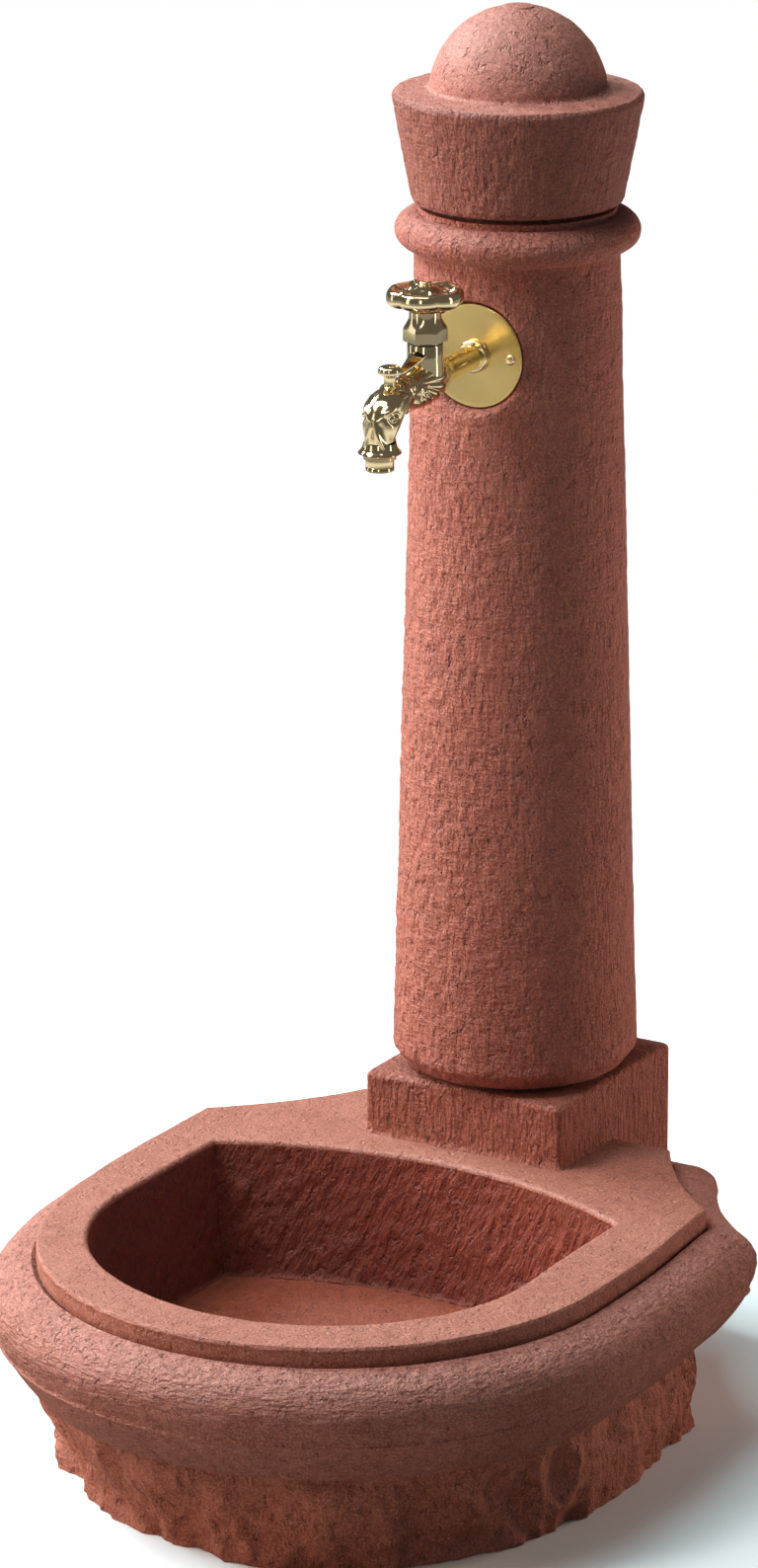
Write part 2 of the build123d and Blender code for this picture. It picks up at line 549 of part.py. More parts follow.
with BuildPart() as cap:
    with BuildSketch(Plane.XZ):
        with BuildLine():
            dome_rise = CAP_TOP + CAP_TOP_FALL - DOME_CENTRE
            dome_edge = sqrt(DOME_RADIUS**2 - dome_rise**2)
            Line((0, CAP_FOOT), (CAP_FOOT_RADIUS, CAP_FOOT))
            Line((CAP_FOOT_RADIUS, CAP_FOOT), (CAP_RADIUS, CAP_WIDEST))
            RadiusArc((CAP_RADIUS, CAP_WIDEST), (CAP_TOP_RADIUS, CAP_TOP), -CAP_SHOULDER)
            Line((CAP_TOP_RADIUS, CAP_TOP), (dome_edge, CAP_TOP + CAP_TOP_FALL))
            RadiusArc((dome_edge, CAP_TOP + CAP_TOP_FALL), (0, DOME_CENTRE + DOME_RADIUS), -DOME_RADIUS)
            Line((0, DOME_CENTRE + DOME_RADIUS), (0, CAP_FOOT))
        make_face()
    revolve(axis=Axis.Z)
    fillet(cap.faces().sort_by(Axis.Z)[0].edges(), CAP_EDGE_RADIUS)
    with BuildSketch(Plane.XY.offset(CAP_FOOT)):
        Circle(DOWEL_HOLE_RADIUS)
    extrude(amount=CAP_DOWEL_FOOT + DOWEL_LENGTH + DOWEL_CLEARANCE - CAP_FOOT, mode=Mode.SUBTRACT)
cap.part.label = "cap"
export_step(cap.part, "parts/cap.step")

# Rosette with its fixings
with BuildPart() as rosette:
    with BuildSketch(facing(PAD_OUT)):
        Circle(ROSETTE_RADIUS)
        Circle(INLET_RADIUS + ROSETTE_CLEARANCE, mode=Mode.SUBTRACT)
        with Locations((-ROSETTE_SCREW_SIDE, 0), (ROSETTE_SCREW_SIDE, 0)):
            Circle(SCREW_RADIUS + SCREW_CLEARANCE, mode=Mode.SUBTRACT)
    extrude(amount=ROSETTE_THICKNESS)
rosette.part.label = "rosette"
export_step(rosette.part, "parts/rosette.step")

with BuildPart() as rosette_screws:
    with BuildSketch(facing(ROSETTE_FACE)):
        with Locations((-ROSETTE_SCREW_SIDE, 0), (ROSETTE_SCREW_SIDE, 0)):
            Circle(SCREW_HEAD_RADIUS)
    extrude(amount=SCREW_HEAD_HEIGHT)
    fillet(rosette_screws.faces().filter_by(GeomType.PLANE).group_by(Axis.Y)[0].edges(), SCREW_HEAD_ROUND)
    with BuildSketch(facing(ROSETTE_FACE)):
        with Locations((-ROSETTE_SCREW_SIDE, 0), (ROSETTE_SCREW_SIDE, 0)):
            Circle(SCREW_RADIUS)
    extrude(amount=-SCREW_LENGTH)
rosette_screws.part.label = "rosette_screws"
export_step(rosette_screws.part, "parts/rosette_screws.step")

with BuildPart() as rosette_plugs:
    with BuildSketch(facing(PAD_OUT)):
        with Locations((-ROSETTE_SCREW_SIDE, 0), (ROSETTE_SCREW_SIDE, 0)):
            Circle(PLUG_RADIUS - THREAD_CLEARANCE)
            Circle(SCREW_RADIUS + THREAD_CLEARANCE, mode=Mode.SUBTRACT)
    extrude(amount=-PLUG_LENGTH)
rosette_plugs.part.label = "rosette_plugs"
export_step(rosette_plugs.part, "parts/rosette_plugs.step")

with BuildPart() as pipe_collar:
    with BuildSketch(facing(ROSETTE_FACE)):
        Circle(INLET_COLLAR_RADIUS)
        Circle(INLET_RADIUS + THREAD_CLEARANCE, mode=Mode.SUBTRACT)
    extrude(amount=INLET_COLLAR_LENGTH)
pipe_collar.part.label = "pipe_collar"
export_step(pipe_collar.part, "parts/pipe_collar.step")

# Tap body: one casting with pipe, globe, neck, spout and animal head
with BuildPart() as tap_body:
    with BuildSketch(facing(GLOBE_ROOT_OUT)):
        Ellipse(INLET_RADIUS, INLET_RADIUS)
    with BuildSketch(facing(GLOBE_SHOULDER_OUT, -GLOBE_DROP)):
        Ellipse(GLOBE_SHOULDER_HALF_WIDTH, GLOBE_SHOULDER_HALF_HEIGHT)
    with BuildSketch(facing(VALVE_OUT, -GLOBE_DROP)):
        Ellipse(GLOBE_HALF_WIDTH, GLOBE_HALF_HEIGHT)
    with BuildSketch(facing(SPOUT_ROOT_OUT, -SPOUT_DROP)):
        Ellipse(SPOUT_HALF_WIDTH, SPOUT_HALF_HEIGHT)
    with BuildSketch(facing(SPOUT_WAIST_OUT, -SPOUT_DROP)):
        Ellipse(SPOUT_WAIST_HALF_WIDTH, SPOUT_WAIST_HALF_HEIGHT)
    with BuildSketch(facing(HEAD_OUT, -SPOUT_DROP)):
        Ellipse(HEAD_HALF_WIDTH, HEAD_HALF_HEIGHT)
    with BuildSketch(facing(BROW_OUT, -BROW_DROP, dip=BROW_DIP)):
        Ellipse(BROW_HALF_WIDTH, BROW_HALF_DEPTH)
    with BuildSketch(facing(MUZZLE_OUT, -MUZZLE_DROP, dip=MUZZLE_DIP)):
        Ellipse(MUZZLE_RADIUS, MUZZLE_RADIUS)
    with BuildSketch(facing(NOZZLE_OUT, LIP_FOOT + LIP_RISE - TAP_HEIGHT, dip=90)):
        Ellipse(LIP_FOOT_RADIUS, LIP_FOOT_RADIUS)
    loft()
    with BuildSketch(facing(INLET_END_OUT)):
        Circle(INLET_RADIUS)
    extrude(amount=GLOBE_ROOT_OUT - INLET_END_OUT)
    with BuildSketch(facing(INLET_END_OUT)):
        Circle(SUPPLY_THREAD_RADIUS)
    extrude(amount=INLET_THREAD_LENGTH)
    # knob on the head, then the valve's neck
    with BuildSketch(level(TAP_HEIGHT + KNOB_STEM_FOOT, KNOB_OUT)):
        Circle(KNOB_STEM_RADIUS)
    extrude(amount=KNOB_FOOT - KNOB_STEM_FOOT)
    with BuildSketch(level(TAP_HEIGHT + KNOB_FOOT, KNOB_OUT)):
        Circle(KNOB_RADIUS)
    extrude(amount=KNOB_TOP - KNOB_FOOT)
    fillet(tap_body.faces().sort_by(Axis.Z)[-1].edges(), KNOB_TOP - KNOB_FOOT - KNOB_EDGE)
    with BuildSketch(level(TAP_HEIGHT, VALVE_OUT)):
        Circle(NECK_RADIUS)
    extrude(amount=NECK_TOP)
    # lip of the muzzle
    with BuildSketch(PROFILE):
        with BuildLine():
            Polyline(
                (NOZZLE_OUT, LIP_FOOT),
                (NOZZLE_OUT + LIP_FOOT_RADIUS, LIP_FOOT),
                (NOZZLE_OUT + LIP_RADIUS, LIP_FOOT + LIP_RISE),
                (NOZZLE_OUT + LIP_FOOT_RADIUS, LIP_FOOT + LIP_HEIGHT),
                (NOZZLE_OUT, LIP_FOOT + LIP_HEIGHT),
                close=True,
            )
        make_face()
    revolve(axis=Axis(TAP_OUT * NOZZLE_OUT, (0, 0, 1)))
    # water way: inlet bore, dip to the cavity, seat, chamber and spout
    with BuildSketch(facing(INLET_END_OUT)):
        Circle(INLET_BORE_RADIUS)
    extrude(amount=DIP_OUT - INLET_END_OUT, mode=Mode.SUBTRACT)
    with BuildSketch(facing(DIP_OUT, dip=DIP_ANGLE)):
        Circle(DIP_RADIUS)
    extrude(amount=dip_length, mode=Mode.SUBTRACT)
    with BuildSketch(level(CAVITY_FOOT, VALVE_OUT)):
        Circle(SEAT_CAVITY_RADIUS)
    extrude(amount=SEAT_CAVITY_HEIGHT, mode=Mode.SUBTRACT)
    with BuildSketch(level(CAVITY_TOP, VALVE_OUT)):
        Circle(SEAT_HOLE_RADIUS)
    extrude(amount=SEAT_PLATE, mode=Mode.SUBTRACT)
    with BuildSketch(level(SEAT_FACE, VALVE_OUT)):
        Circle(CHAMBER_RADIUS)
    extrude(amount=NECK_TOP_HEIGHT - SEAT_FACE, mode=Mode.SUBTRACT)
    with BuildSketch(facing(VALVE_OUT, SPOUT_WAY_RISE)):
        Circle(SPOUT_WAY_RADIUS)
    sweep(path=spout_way.line, mode=Mode.SUBTRACT)
    with BuildSketch(level(LIP_FOOT, NOZZLE_OUT)):
        Circle(NOZZLE_SPIGOT_RADIUS + THREAD_CLEARANCE)
    extrude(amount=NOZZLE_SPIGOT_HEIGHT + THREAD_CLEARANCE, mode=Mode.SUBTRACT)
tap_body.part.label = "tap_body"
export_step(tap_body.part, "parts/tap_body.step")

with BuildPart() as outlet_nozzle:
    with BuildSketch(level(NOZZLE_MOUTH, NOZZLE_OUT)):
        Circle(NOZZLE_RADIUS)
    extrude(amount=NOZZLE_RING_HEIGHT)
    with BuildSketch(level(NOZZLE_FLANGE_FOOT, NOZZLE_OUT)):
        Circle(NOZZLE_FLANGE_RADIUS)
    extrude(amount=NOZZLE_FLANGE_HEIGHT)
    with BuildSketch(level(LIP_FOOT, NOZZLE_OUT)):
        Circle(NOZZLE_SPIGOT_RADIUS)
    extrude(amount=NOZZLE_SPIGOT_HEIGHT)
    with BuildSketch(level(NOZZLE_MOUTH, NOZZLE_OUT)):
        Circle(NOZZLE_BORE_RADIUS)
    extrude(amount=LIP_FOOT + NOZZLE_SPIGOT_HEIGHT - NOZZLE_MOUTH, mode=Mode.SUBTRACT)
outlet_nozzle.part.label = "outlet_nozzle"
export_step(outlet_nozzle.part, "parts/outlet_nozzle.step")

with BuildPart() as thread_seal:
    with BuildSketch(facing(INLET_END_OUT - SEAL_THICKNESS)):
        Circle(SUPPLY_THREAD_RADIUS)
        Circle(INLET_BORE_RADIUS, mode=Mode.SUBTRACT)
    extrude(amount=SEAL_THICKNESS)
thread_seal.part.label = "thread_seal"
export_step(thread_seal.part, "parts/thread_seal.step")

# Bonnet with the spindle's seal
with BuildPart() as bonnet_gasket:
    with BuildSketch(level(NECK_TOP_HEIGHT, VALVE_OUT)):
        Circle(NECK_RADIUS)
        Circle(CHAMBER_RADIUS + ROSETTE_CLEARANCE, mode=Mode.SUBTRACT)
    extrude(amount=BONNET_GASKET)
bonnet_gasket.part.label = "bonnet_gasket"
export_step(bonnet_gasket.part, "parts/bonnet_gasket.step")

with BuildPart() as bonnet:
    with BuildSketch(level(HEX_FOOT, VALVE_OUT)):
        RegularPolygon(BONNET_FLATS / 2, 6, major_radius=False)
    extrude(amount=BONNET_HEX_HEIGHT)
    chamfer(bonnet.faces().sort_by(Axis.Z)[-1].edges(), BONNET_CHAMFER)
    with BuildSketch(level(HEX_TOP, VALVE_OUT)):
        Circle(BONNET_TOP_RADIUS)
    extrude(amount=BONNET_TOP_HEIGHT)
    with BuildSketch(level(HEX_FOOT, VALVE_OUT)):
        Circle(CHAMBER_RADIUS - THREAD_CLEARANCE)
    extrude(amount=-BONNET_GASKET - BONNET_SHANK_HEIGHT)
    with BuildSketch(level(SCREW_BORE_TOP, VALVE_OUT)):
        Circle(SPINDLE_SCREW_RADIUS + THREAD_CLEARANCE)
    extrude(amount=-SCREW_BORE_TOP + SEAT_FACE, mode=Mode.SUBTRACT)
    with BuildSketch(level(SCREW_BORE_TOP, VALVE_OUT)):
        Circle(SPINDLE_RADIUS + THREAD_CLEARANCE)
    extrude(amount=STUFFING_FOOT - SCREW_BORE_TOP, mode=Mode.SUBTRACT)
    with BuildSketch(level(STUFFING_FOOT, VALVE_OUT)):
        Circle(STUFFING_RADIUS)
    extrude(amount=STUFFING_DEPTH, mode=Mode.SUBTRACT)
bonnet.part.label = "bonnet"
export_step(bonnet.part, "parts/bonnet.step")

with BuildPart() as packing_ring:
    with BuildSketch(level(STUFFING_FOOT, VALVE_OUT)):
        Circle(STUFFING_RADIUS - THREAD_CLEARANCE)
        Circle(SPINDLE_RADIUS + THREAD_CLEARANCE, mode=Mode.SUBTRACT)
    extrude(amount=PACKING_HEIGHT)
packing_ring.part.label = "packing_ring"
export_step(packing_ring.part, "parts/packing_ring.step")

with BuildPart() as gland_nut:
    with BuildSketch(level(STUFFING_FOOT + PACKING_HEIGHT, VALVE_OUT)):
        Circle(STUFFING_RADIUS - THREAD_CLEARANCE)
    extrude(amount=STUFFING_DEPTH - PACKING_HEIGHT)
    with BuildSketch(level(BONNET_TOP, VALVE_OUT)):
        Circle(GLAND_HEAD_RADIUS)
    extrude(amount=GLAND_HEAD_HEIGHT)
    with BuildSketch(level(BONNET_TOP + GLAND_HEAD_HEIGHT, VALVE_OUT)):
        Circle(SPINDLE_RADIUS + THREAD_CLEARANCE)
    extrude(amount=-GLAND_HEAD_HEIGHT - STUFFING_DEPTH, mode=Mode.SUBTRACT)
gland_nut.part.label = "gland_nut"
export_step(gland_nut.part, "parts/gland_nut.step")

# Spindle and handwheel turn together
with BuildPart() as spindle:
    with BuildSketch(level(SPINDLE_FOOT, VALVE_OUT)):
        Circle(SPINDLE_SCREW_RADIUS)
    extrude(amount=SPINDLE_SCREW_LENGTH)
    with BuildSketch(level(SPINDLE_SHOULDER, VALVE_OUT)):
        Circle(SPINDLE_RADIUS)
    extrude(amount=HUB_FOOT - SPINDLE_SHOULDER)
    with BuildSketch(level(HUB_FOOT, VALVE_OUT)):
        Rectangle(SPINDLE_SQUARE, SPINDLE_SQUARE)
    extrude(amount=SPINDLE_SQUARE_LENGTH)
    with BuildSketch(level(SPINDLE_FOOT, VALVE_OUT)):
        Circle(JUMPER_STEM_RADIUS + THREAD_CLEARANCE)
    extrude(amount=JUMPER_STEM_LENGTH, mode=Mode.SUBTRACT)
    with BuildSketch(level(SPINDLE_TOP, VALVE_OUT)):
        Circle(WHEEL_SCREW_RADIUS + THREAD_CLEARANCE)
    extrude(amount=HUB_TOP - WHEEL_SCREW_LENGTH - SCREW_CLEARANCE - SPINDLE_TOP, mode=Mode.SUBTRACT)
spindle.part.label = "spindle"
export_step(spindle.part, "parts/spindle.step")

with BuildPart() as handwheel:
    with BuildSketch(level(HUB_FOOT, VALVE_OUT)):
        Circle(WHEEL_HUB_RADIUS)
    extrude(amount=WHEEL_HUB_HEIGHT)
    # dished web, and a rim of elliptical section
    with BuildSketch(PROFILE):
        with BuildLine():
            Polyline(
                (VALVE_OUT, HUB_FOOT + WHEEL_WEB_FOOT),
                (VALVE_OUT, HUB_TOP - WHEEL_WEB_FALL),
                (VALVE_OUT + WHEEL_RADIUS - WHEEL_RIM_WIDTH / 2, RIM_MIDDLE + WHEEL_WEB_THICKNESS / 2),
                (VALVE_OUT + WHEEL_RADIUS - WHEEL_RIM_WIDTH / 2, RIM_MIDDLE - WHEEL_WEB_THICKNESS / 2),
                close=True,
            )
        make_face()
        with Locations((VALVE_OUT + WHEEL_RADIUS - WHEEL_RIM_WIDTH / 2, RIM_MIDDLE)):
            Ellipse(WHEEL_RIM_WIDTH / 2, WHEEL_RIM_HEIGHT / 2)
    revolve(axis=Axis(TAP_OUT * VALVE_OUT, (0, 0, 1)))
    # shallow scallops between the lobes of the rim
    with BuildSketch(level(HUB_FOOT, VALVE_OUT)):
        with PolarLocations(WHEEL_SCALLOP_CIRCLE, WHEEL_RIBS, start_angle=WHEEL_LOBE_START):
            Circle(WHEEL_LOBE_RADIUS)
    extrude(amount=WHEEL_HUB_HEIGHT, mode=Mode.SUBTRACT)
    # ribs from the hub over the web to the rim, one to each scallop
    with BuildSketch(level(RIM_MIDDLE, VALVE_OUT)):
        with PolarLocations(WHEEL_RIB_CIRCLE, WHEEL_RIBS, start_angle=WHEEL_LOBE_START):
            Rectangle(WHEEL_RIB_LENGTH, WHEEL_RIB_WIDTH)
    extrude(amount=WHEEL_RIM_HEIGHT / 2 + WHEEL_RIB_PROUD, taper=WHEEL_RIB_DRAFT)
    # square socket for the spindle and hole for the wheel screw
    with BuildSketch(level(HUB_FOOT, VALVE_OUT)):
        Rectangle(SPINDLE_SQUARE + 2 * THREAD_CLEARANCE, SPINDLE_SQUARE + 2 * THREAD_CLEARANCE)
    extrude(amount=SPINDLE_SQUARE_LENGTH + SCREW_CLEARANCE, mode=Mode.SUBTRACT)
    with BuildSketch(level(HUB_TOP, VALVE_OUT)):
        Circle(WHEEL_SCREW_RADIUS + THREAD_CLEARANCE)
    extrude(amount=-WHEEL_HUB_HEIGHT, mode=Mode.SUBTRACT)
handwheel.part.label = "handwheel"
export_step(handwheel.part, "parts/handwheel.step")

with BuildPart() as wheel_screw:
    with BuildSketch(level(HUB_TOP, VALVE_OUT)):
        Circle(WHEEL_SCREW_HEAD_RADIUS)
    extrude(amount=WHEEL_SCREW_HEAD_HEIGHT)
    fillet(wheel_screw.faces().sort_by(Axis.Z)[-1].edges(), SCREW_HEAD_ROUND)
    with BuildSketch(level(HUB_TOP, VALVE_OUT)):
        Circle(WHEEL_SCREW_RADIUS)
    extrude(amount=-WHEEL_SCREW_LENGTH)
wheel_screw.part.label = "wheel_screw"
export_step(wheel_screw.part, "parts/wheel_screw.step")

# Jumper valve: rises with the spindle and doesn't turn
with BuildPart() as valve_jumper:
    with BuildSketch(level(WASHER_TOP, VALVE_OUT)):
        Circle(JUMPER_RADIUS)
    extrude(amount=JUMPER_THICKNESS)
    with BuildSketch(level(JUMPER_TOP, VALVE_OUT)):
        Circle(JUMPER_STEM_RADIUS)
    extrude(amount=JUMPER_STEM_LENGTH)
    with BuildSketch(level(WASHER_TOP, VALVE_OUT)):
        Circle(JUMPER_STUD_RADIUS)
    extrude(amount=-WASHER_THICKNESS - WASHER_NUT_HEIGHT - JUMPER_STUD_PROUD)
valve_jumper.part.label = "valve_jumper"
export_step(valve_jumper.part, "parts/valve_jumper.step")

with BuildPart() as valve_washer:
    with BuildSketch(level(SEAT_FACE, VALVE_OUT)):
        Circle(WASHER_RADIUS)
        Circle(JUMPER_STUD_RADIUS + THREAD_CLEARANCE, mode=Mode.SUBTRACT)
    extrude(amount=WASHER_THICKNESS)
valve_washer.part.label = "valve_washer"
export_step(valve_washer.part, "parts/valve_washer.step")

with BuildPart() as washer_nut:
    with BuildSketch(level(SEAT_FACE, VALVE_OUT)):
        RegularPolygon(WASHER_NUT_FLATS / 2, 6, major_radius=False)
        Circle(JUMPER_STUD_RADIUS + THREAD_CLEARANCE, mode=Mode.SUBTRACT)
    extrude(amount=-WASHER_NUT_HEIGHT)
washer_nut.part.label = "washer_nut"
export_step(washer_nut.part, "parts/washer_nut.step")

# Supply: tap elbow, riser, lower elbow and nipple
with BuildPart() as tap_elbow:
    with BuildSketch(level(TAP_HEIGHT, 0)):
        Circle(ELBOW_BODY_RADIUS)
    extrude(amount=-ELBOW_ARM)
    with BuildSketch(facing(0)):
        Circle(ELBOW_ARM_RADIUS)
    extrude(amount=ELBOW_ARM)
    with Locations((0, 0, TAP_HEIGHT)):
        Sphere(ELBOW_ARM_RADIUS)
    with BuildSketch(facing(0)):
        Circle(ELBOW_WAY_RADIUS)
    extrude(amount=ELBOW_ARM, mode=Mode.SUBTRACT)
    with BuildSketch(level(TAP_HEIGHT, 0)):
        Circle(ELBOW_WAY_RADIUS)
    extrude(amount=-ELBOW_ARM, mode=Mode.SUBTRACT)
    with BuildSketch(facing(INLET_END_OUT - SEAL_THICKNESS)):
        Circle(SUPPLY_THREAD_RADIUS + THREAD_CLEARANCE)
    extrude(amount=ELBOW_ARM - INLET_END_OUT + SEAL_THICKNESS, mode=Mode.SUBTRACT)
    with BuildSketch(level(TAP_HEIGHT - ELBOW_ARM, 0)):
        Circle(RISER_RADIUS + THREAD_CLEARANCE)
    extrude(amount=SOCKET_DEPTH, mode=Mode.SUBTRACT)
tap_elbow.part.label = "tap_elbow"
export_step(tap_elbow.part, "parts/tap_elbow.step")

with BuildPart() as riser_pipe:
    with BuildSketch(Plane.XY.offset(SUPPLY_HEIGHT + ELBOW_ARM - SOCKET_DEPTH)):
        Circle(RISER_RADIUS)
        Circle(RISER_RADIUS - RISER_WALL, mode=Mode.SUBTRACT)
    extrude(amount=TAP_HEIGHT - SUPPLY_HEIGHT - 2 * (ELBOW_ARM - SOCKET_DEPTH))
riser_pipe.part.label = "riser_pipe"
export_step(riser_pipe.part, "parts/riser_pipe.step")

with BuildPart() as inlet_elbow:
    with BuildSketch(Plane.XY.offset(SUPPLY_HEIGHT)):
        Circle(ELBOW_BODY_RADIUS)
    extrude(amount=ELBOW_ARM)
    with BuildSketch(supply_plane(0)):
        Circle(ELBOW_ARM_RADIUS)
    extrude(amount=ELBOW_ARM)
    with Locations((0, 0, SUPPLY_HEIGHT)):
        Sphere(ELBOW_ARM_RADIUS)
    with BuildSketch(Plane.XY.offset(SUPPLY_HEIGHT)):
        Circle(ELBOW_WAY_RADIUS)
    extrude(amount=ELBOW_ARM, mode=Mode.SUBTRACT)
    with BuildSketch(supply_plane(0)):
        Circle(ELBOW_WAY_RADIUS)
    extrude(amount=ELBOW_ARM, mode=Mode.SUBTRACT)
    with BuildSketch(supply_plane(ELBOW_ARM - SOCKET_DEPTH)):
        Circle(SUPPLY_THREAD_RADIUS + THREAD_CLEARANCE)
    extrude(amount=SOCKET_DEPTH, mode=Mode.SUBTRACT)
    with BuildSketch(Plane.XY.offset(SUPPLY_HEIGHT + ELBOW_ARM - SOCKET_DEPTH)):
        Circle(RISER_RADIUS + THREAD_CLEARANCE)
    extrude(amount=SOCKET_DEPTH, mode=Mode.SUBTRACT)
inlet_elbow.part.label = "inlet_elbow"
export_step(inlet_elbow.part, "parts/inlet_elbow.step")

with BuildPart() as inlet_nipple:
    # thread in the elbow, plain barrel and the thread that stands out of the grommet
    with BuildSketch(supply_plane(ELBOW_ARM - SOCKET_DEPTH)):
        Circle(SUPPLY_THREAD_RADIUS)
    extrude(amount=SOCKET_DEPTH)
    with BuildSketch(supply_plane(ELBOW_ARM)):
        Circle(NIPPLE_BARREL_RADIUS)
    extrude(amount=PLINTH_BACK_IN + GROMMET_FLANGE - ELBOW_ARM)
    with BuildSketch(supply_plane(PLINTH_BACK_IN + GROMMET_FLANGE)):
        Circle(SUPPLY_THREAD_RADIUS)
    extrude(amount=NIPPLE_PROUD - GROMMET_FLANGE)
    with BuildSketch(supply_plane(ELBOW_ARM - SOCKET_DEPTH)):
        Circle(NIPPLE_BORE_RADIUS)
    extrude(amount=PLINTH_BACK_IN + NIPPLE_PROUD - ELBOW_ARM + SOCKET_DEPTH, mode=Mode.SUBTRACT)
inlet_nipple.part.label = "inlet_nipple"
export_step(inlet_nipple.part, "parts/inlet_nipple.step")

with BuildPart() as inlet_grommet:
    with BuildSketch(supply_plane(PLINTH_BACK_IN)):
        Circle(SUPPLY_PASSAGE_RADIUS - GROMMET_CLEARANCE)
    extrude(amount=-GROMMET_LENGTH)
    with BuildSketch(supply_plane(PLINTH_BACK_IN)):
        Circle(GROMMET_FLANGE_RADIUS)
    extrude(amount=GROMMET_FLANGE)
    with BuildSketch(supply_plane(PLINTH_BACK_IN + GROMMET_FLANGE)):
        Circle(NIPPLE_BARREL_RADIUS + THREAD_CLEARANCE)
    extrude(amount=-GROMMET_LENGTH - GROMMET_FLANGE, mode=Mode.SUBTRACT)
inlet_grommet.part.label = "inlet_grommet"
export_step(inlet_grommet.part, "parts/inlet_grommet.step")

# Drain in the floor of the bowl
with BuildPart() as drain_body:
    with BuildSketch(drain_plane(DRAIN_END)):
        Circle(DRAIN_SPIGOT_RADIUS)
    extrude(amount=DRAIN_THREAD_END - DRAIN_END)
    with BuildSketch(drain_plane(DRAIN_THREAD_END)):
        Circle(DRAIN_RADIUS)
    extrude(amount=DRAIN_FLANGE_FOOT - DRAIN_THREAD_END)
    with BuildSketch(drain_plane(DRAIN_FLANGE_FOOT)):
        Circle(DRAIN_FLANGE_RADIUS)
    extrude(amount=DRAIN_FLANGE)
    with BuildSketch(drain_plane(BOWL_FLOOR)):
        Circle(STRAINER_RADIUS + SCREW_CLEARANCE)
    extrude(amount=-STRAINER_THICKNESS, mode=Mode.SUBTRACT)
    with BuildSketch(drain_plane(DRAIN_END)):
        Circle(DRAIN_BORE_RADIUS)
    extrude(amount=BOWL_FLOOR - DRAIN_END, mode=Mode.SUBTRACT)
    # bridge that takes the strainer screw
    with BuildSketch(drain_plane(BRIDGE_TOP)):
        Rectangle(2 * DRAIN_BORE_RADIUS + DRAIN_RADIUS - DRAIN_BORE_RADIUS, BRIDGE_WIDTH)
        Circle(STRAINER_SCREW_RADIUS + THREAD_CLEARANCE, mode=Mode.SUBTRACT)
    extrude(amount=-BRIDGE_HEIGHT)
drain_body.part.label = "drain_body"
export_step(drain_body.part, "parts/drain_body.step")

with BuildPart() as drain_strainer:
    with BuildSketch(drain_plane(BOWL_FLOOR - STRAINER_THICKNESS)):
        Circle(STRAINER_RADIUS)
        Circle(STRAINER_SCREW_RADIUS + SCREW_CLEARANCE, mode=Mode.SUBTRACT)
        with PolarLocations(STRAINER_HOLE_CIRCLE, STRAINER_HOLES):
            Circle(STRAINER_HOLE_RADIUS, mode=Mode.SUBTRACT)
    extrude(amount=STRAINER_THICKNESS)
drain_strainer.part.label = "drain_strainer"
export_step(drain_strainer.part, "parts/drain_strainer.step")

with BuildPart() as strainer_screw:
    with BuildSketch(drain_plane(BOWL_FLOOR)):
        Circle(STRAINER_SCREW_HEAD_RADIUS)
    extrude(amount=STRAINER_SCREW_HEAD)
    fillet(strainer_screw.faces().sort_by(Axis.Z)[-1].edges(), SCREW_HEAD_ROUND)
    with BuildSketch(drain_plane(BOWL_FLOOR)):
        Circle(STRAINER_SCREW_RADIUS)
    extrude(amount=BRIDGE_TOP - BRIDGE_HEIGHT - BOWL_FLOOR)
strainer_screw.part.label = "strainer_screw"
export_step(strainer_screw.part, "parts/strainer_screw.step")

with BuildPart() as drain_gasket_upper:
    with BuildSketch(drain_plane(DRAIN_RECESS_FLOOR)):
        Circle(DRAIN_FLANGE_RADIUS)
        Circle(DRAIN_RADIUS + SCREW_CLEARANCE, mode=Mode.SUBTRACT)
    extrude(amount=DRAIN_GASKET)
drain_gasket_upper.part.label = "drain_gasket_upper"
export_step(drain_gasket_upper.part, "parts/drain_gasket_upper.step")

with BuildPart() as drain_gasket_lower:
    with BuildSketch(drain_plane(DRAIN_POCKET_HEIGHT)):
        Circle(DRAIN_WASHER_RADIUS)
        Circle(DRAIN_RADIUS + SCREW_CLEARANCE, mode=Mode.SUBTRACT)
    extrude(amount=-DRAIN_WASHER)
drain_gasket_lower.part.label = "drain_gasket_lower"
export_step(drain_gasket_lower.part, "parts/drain_gasket_lower.step")

with BuildPart() as drain_nut:
    with BuildSketch(drain_plane(DRAIN_POCKET_HEIGHT - DRAIN_WASHER)):
        RegularPolygon(DRAIN_NUT_FLATS / 2, 6, major_radius=False)
        Circle(DRAIN_RADIUS + THREAD_CLEARANCE, mode=Mode.SUBTRACT)
    extrude(amount=-DRAIN_NUT_HEIGHT)
drain_nut.part.label = "drain_nut"
export_step(drain_nut.part, "parts/drain_nut.step")
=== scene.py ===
"""Looks of the garden water fountain: red cast stone with a polished brass tap."""

from math import asin, atan2, ceil, cos, degrees, exp, hypot, pi, radians, sin, sqrt

import bmesh
import bpy
from mathutils import Matrix, Vector, noise


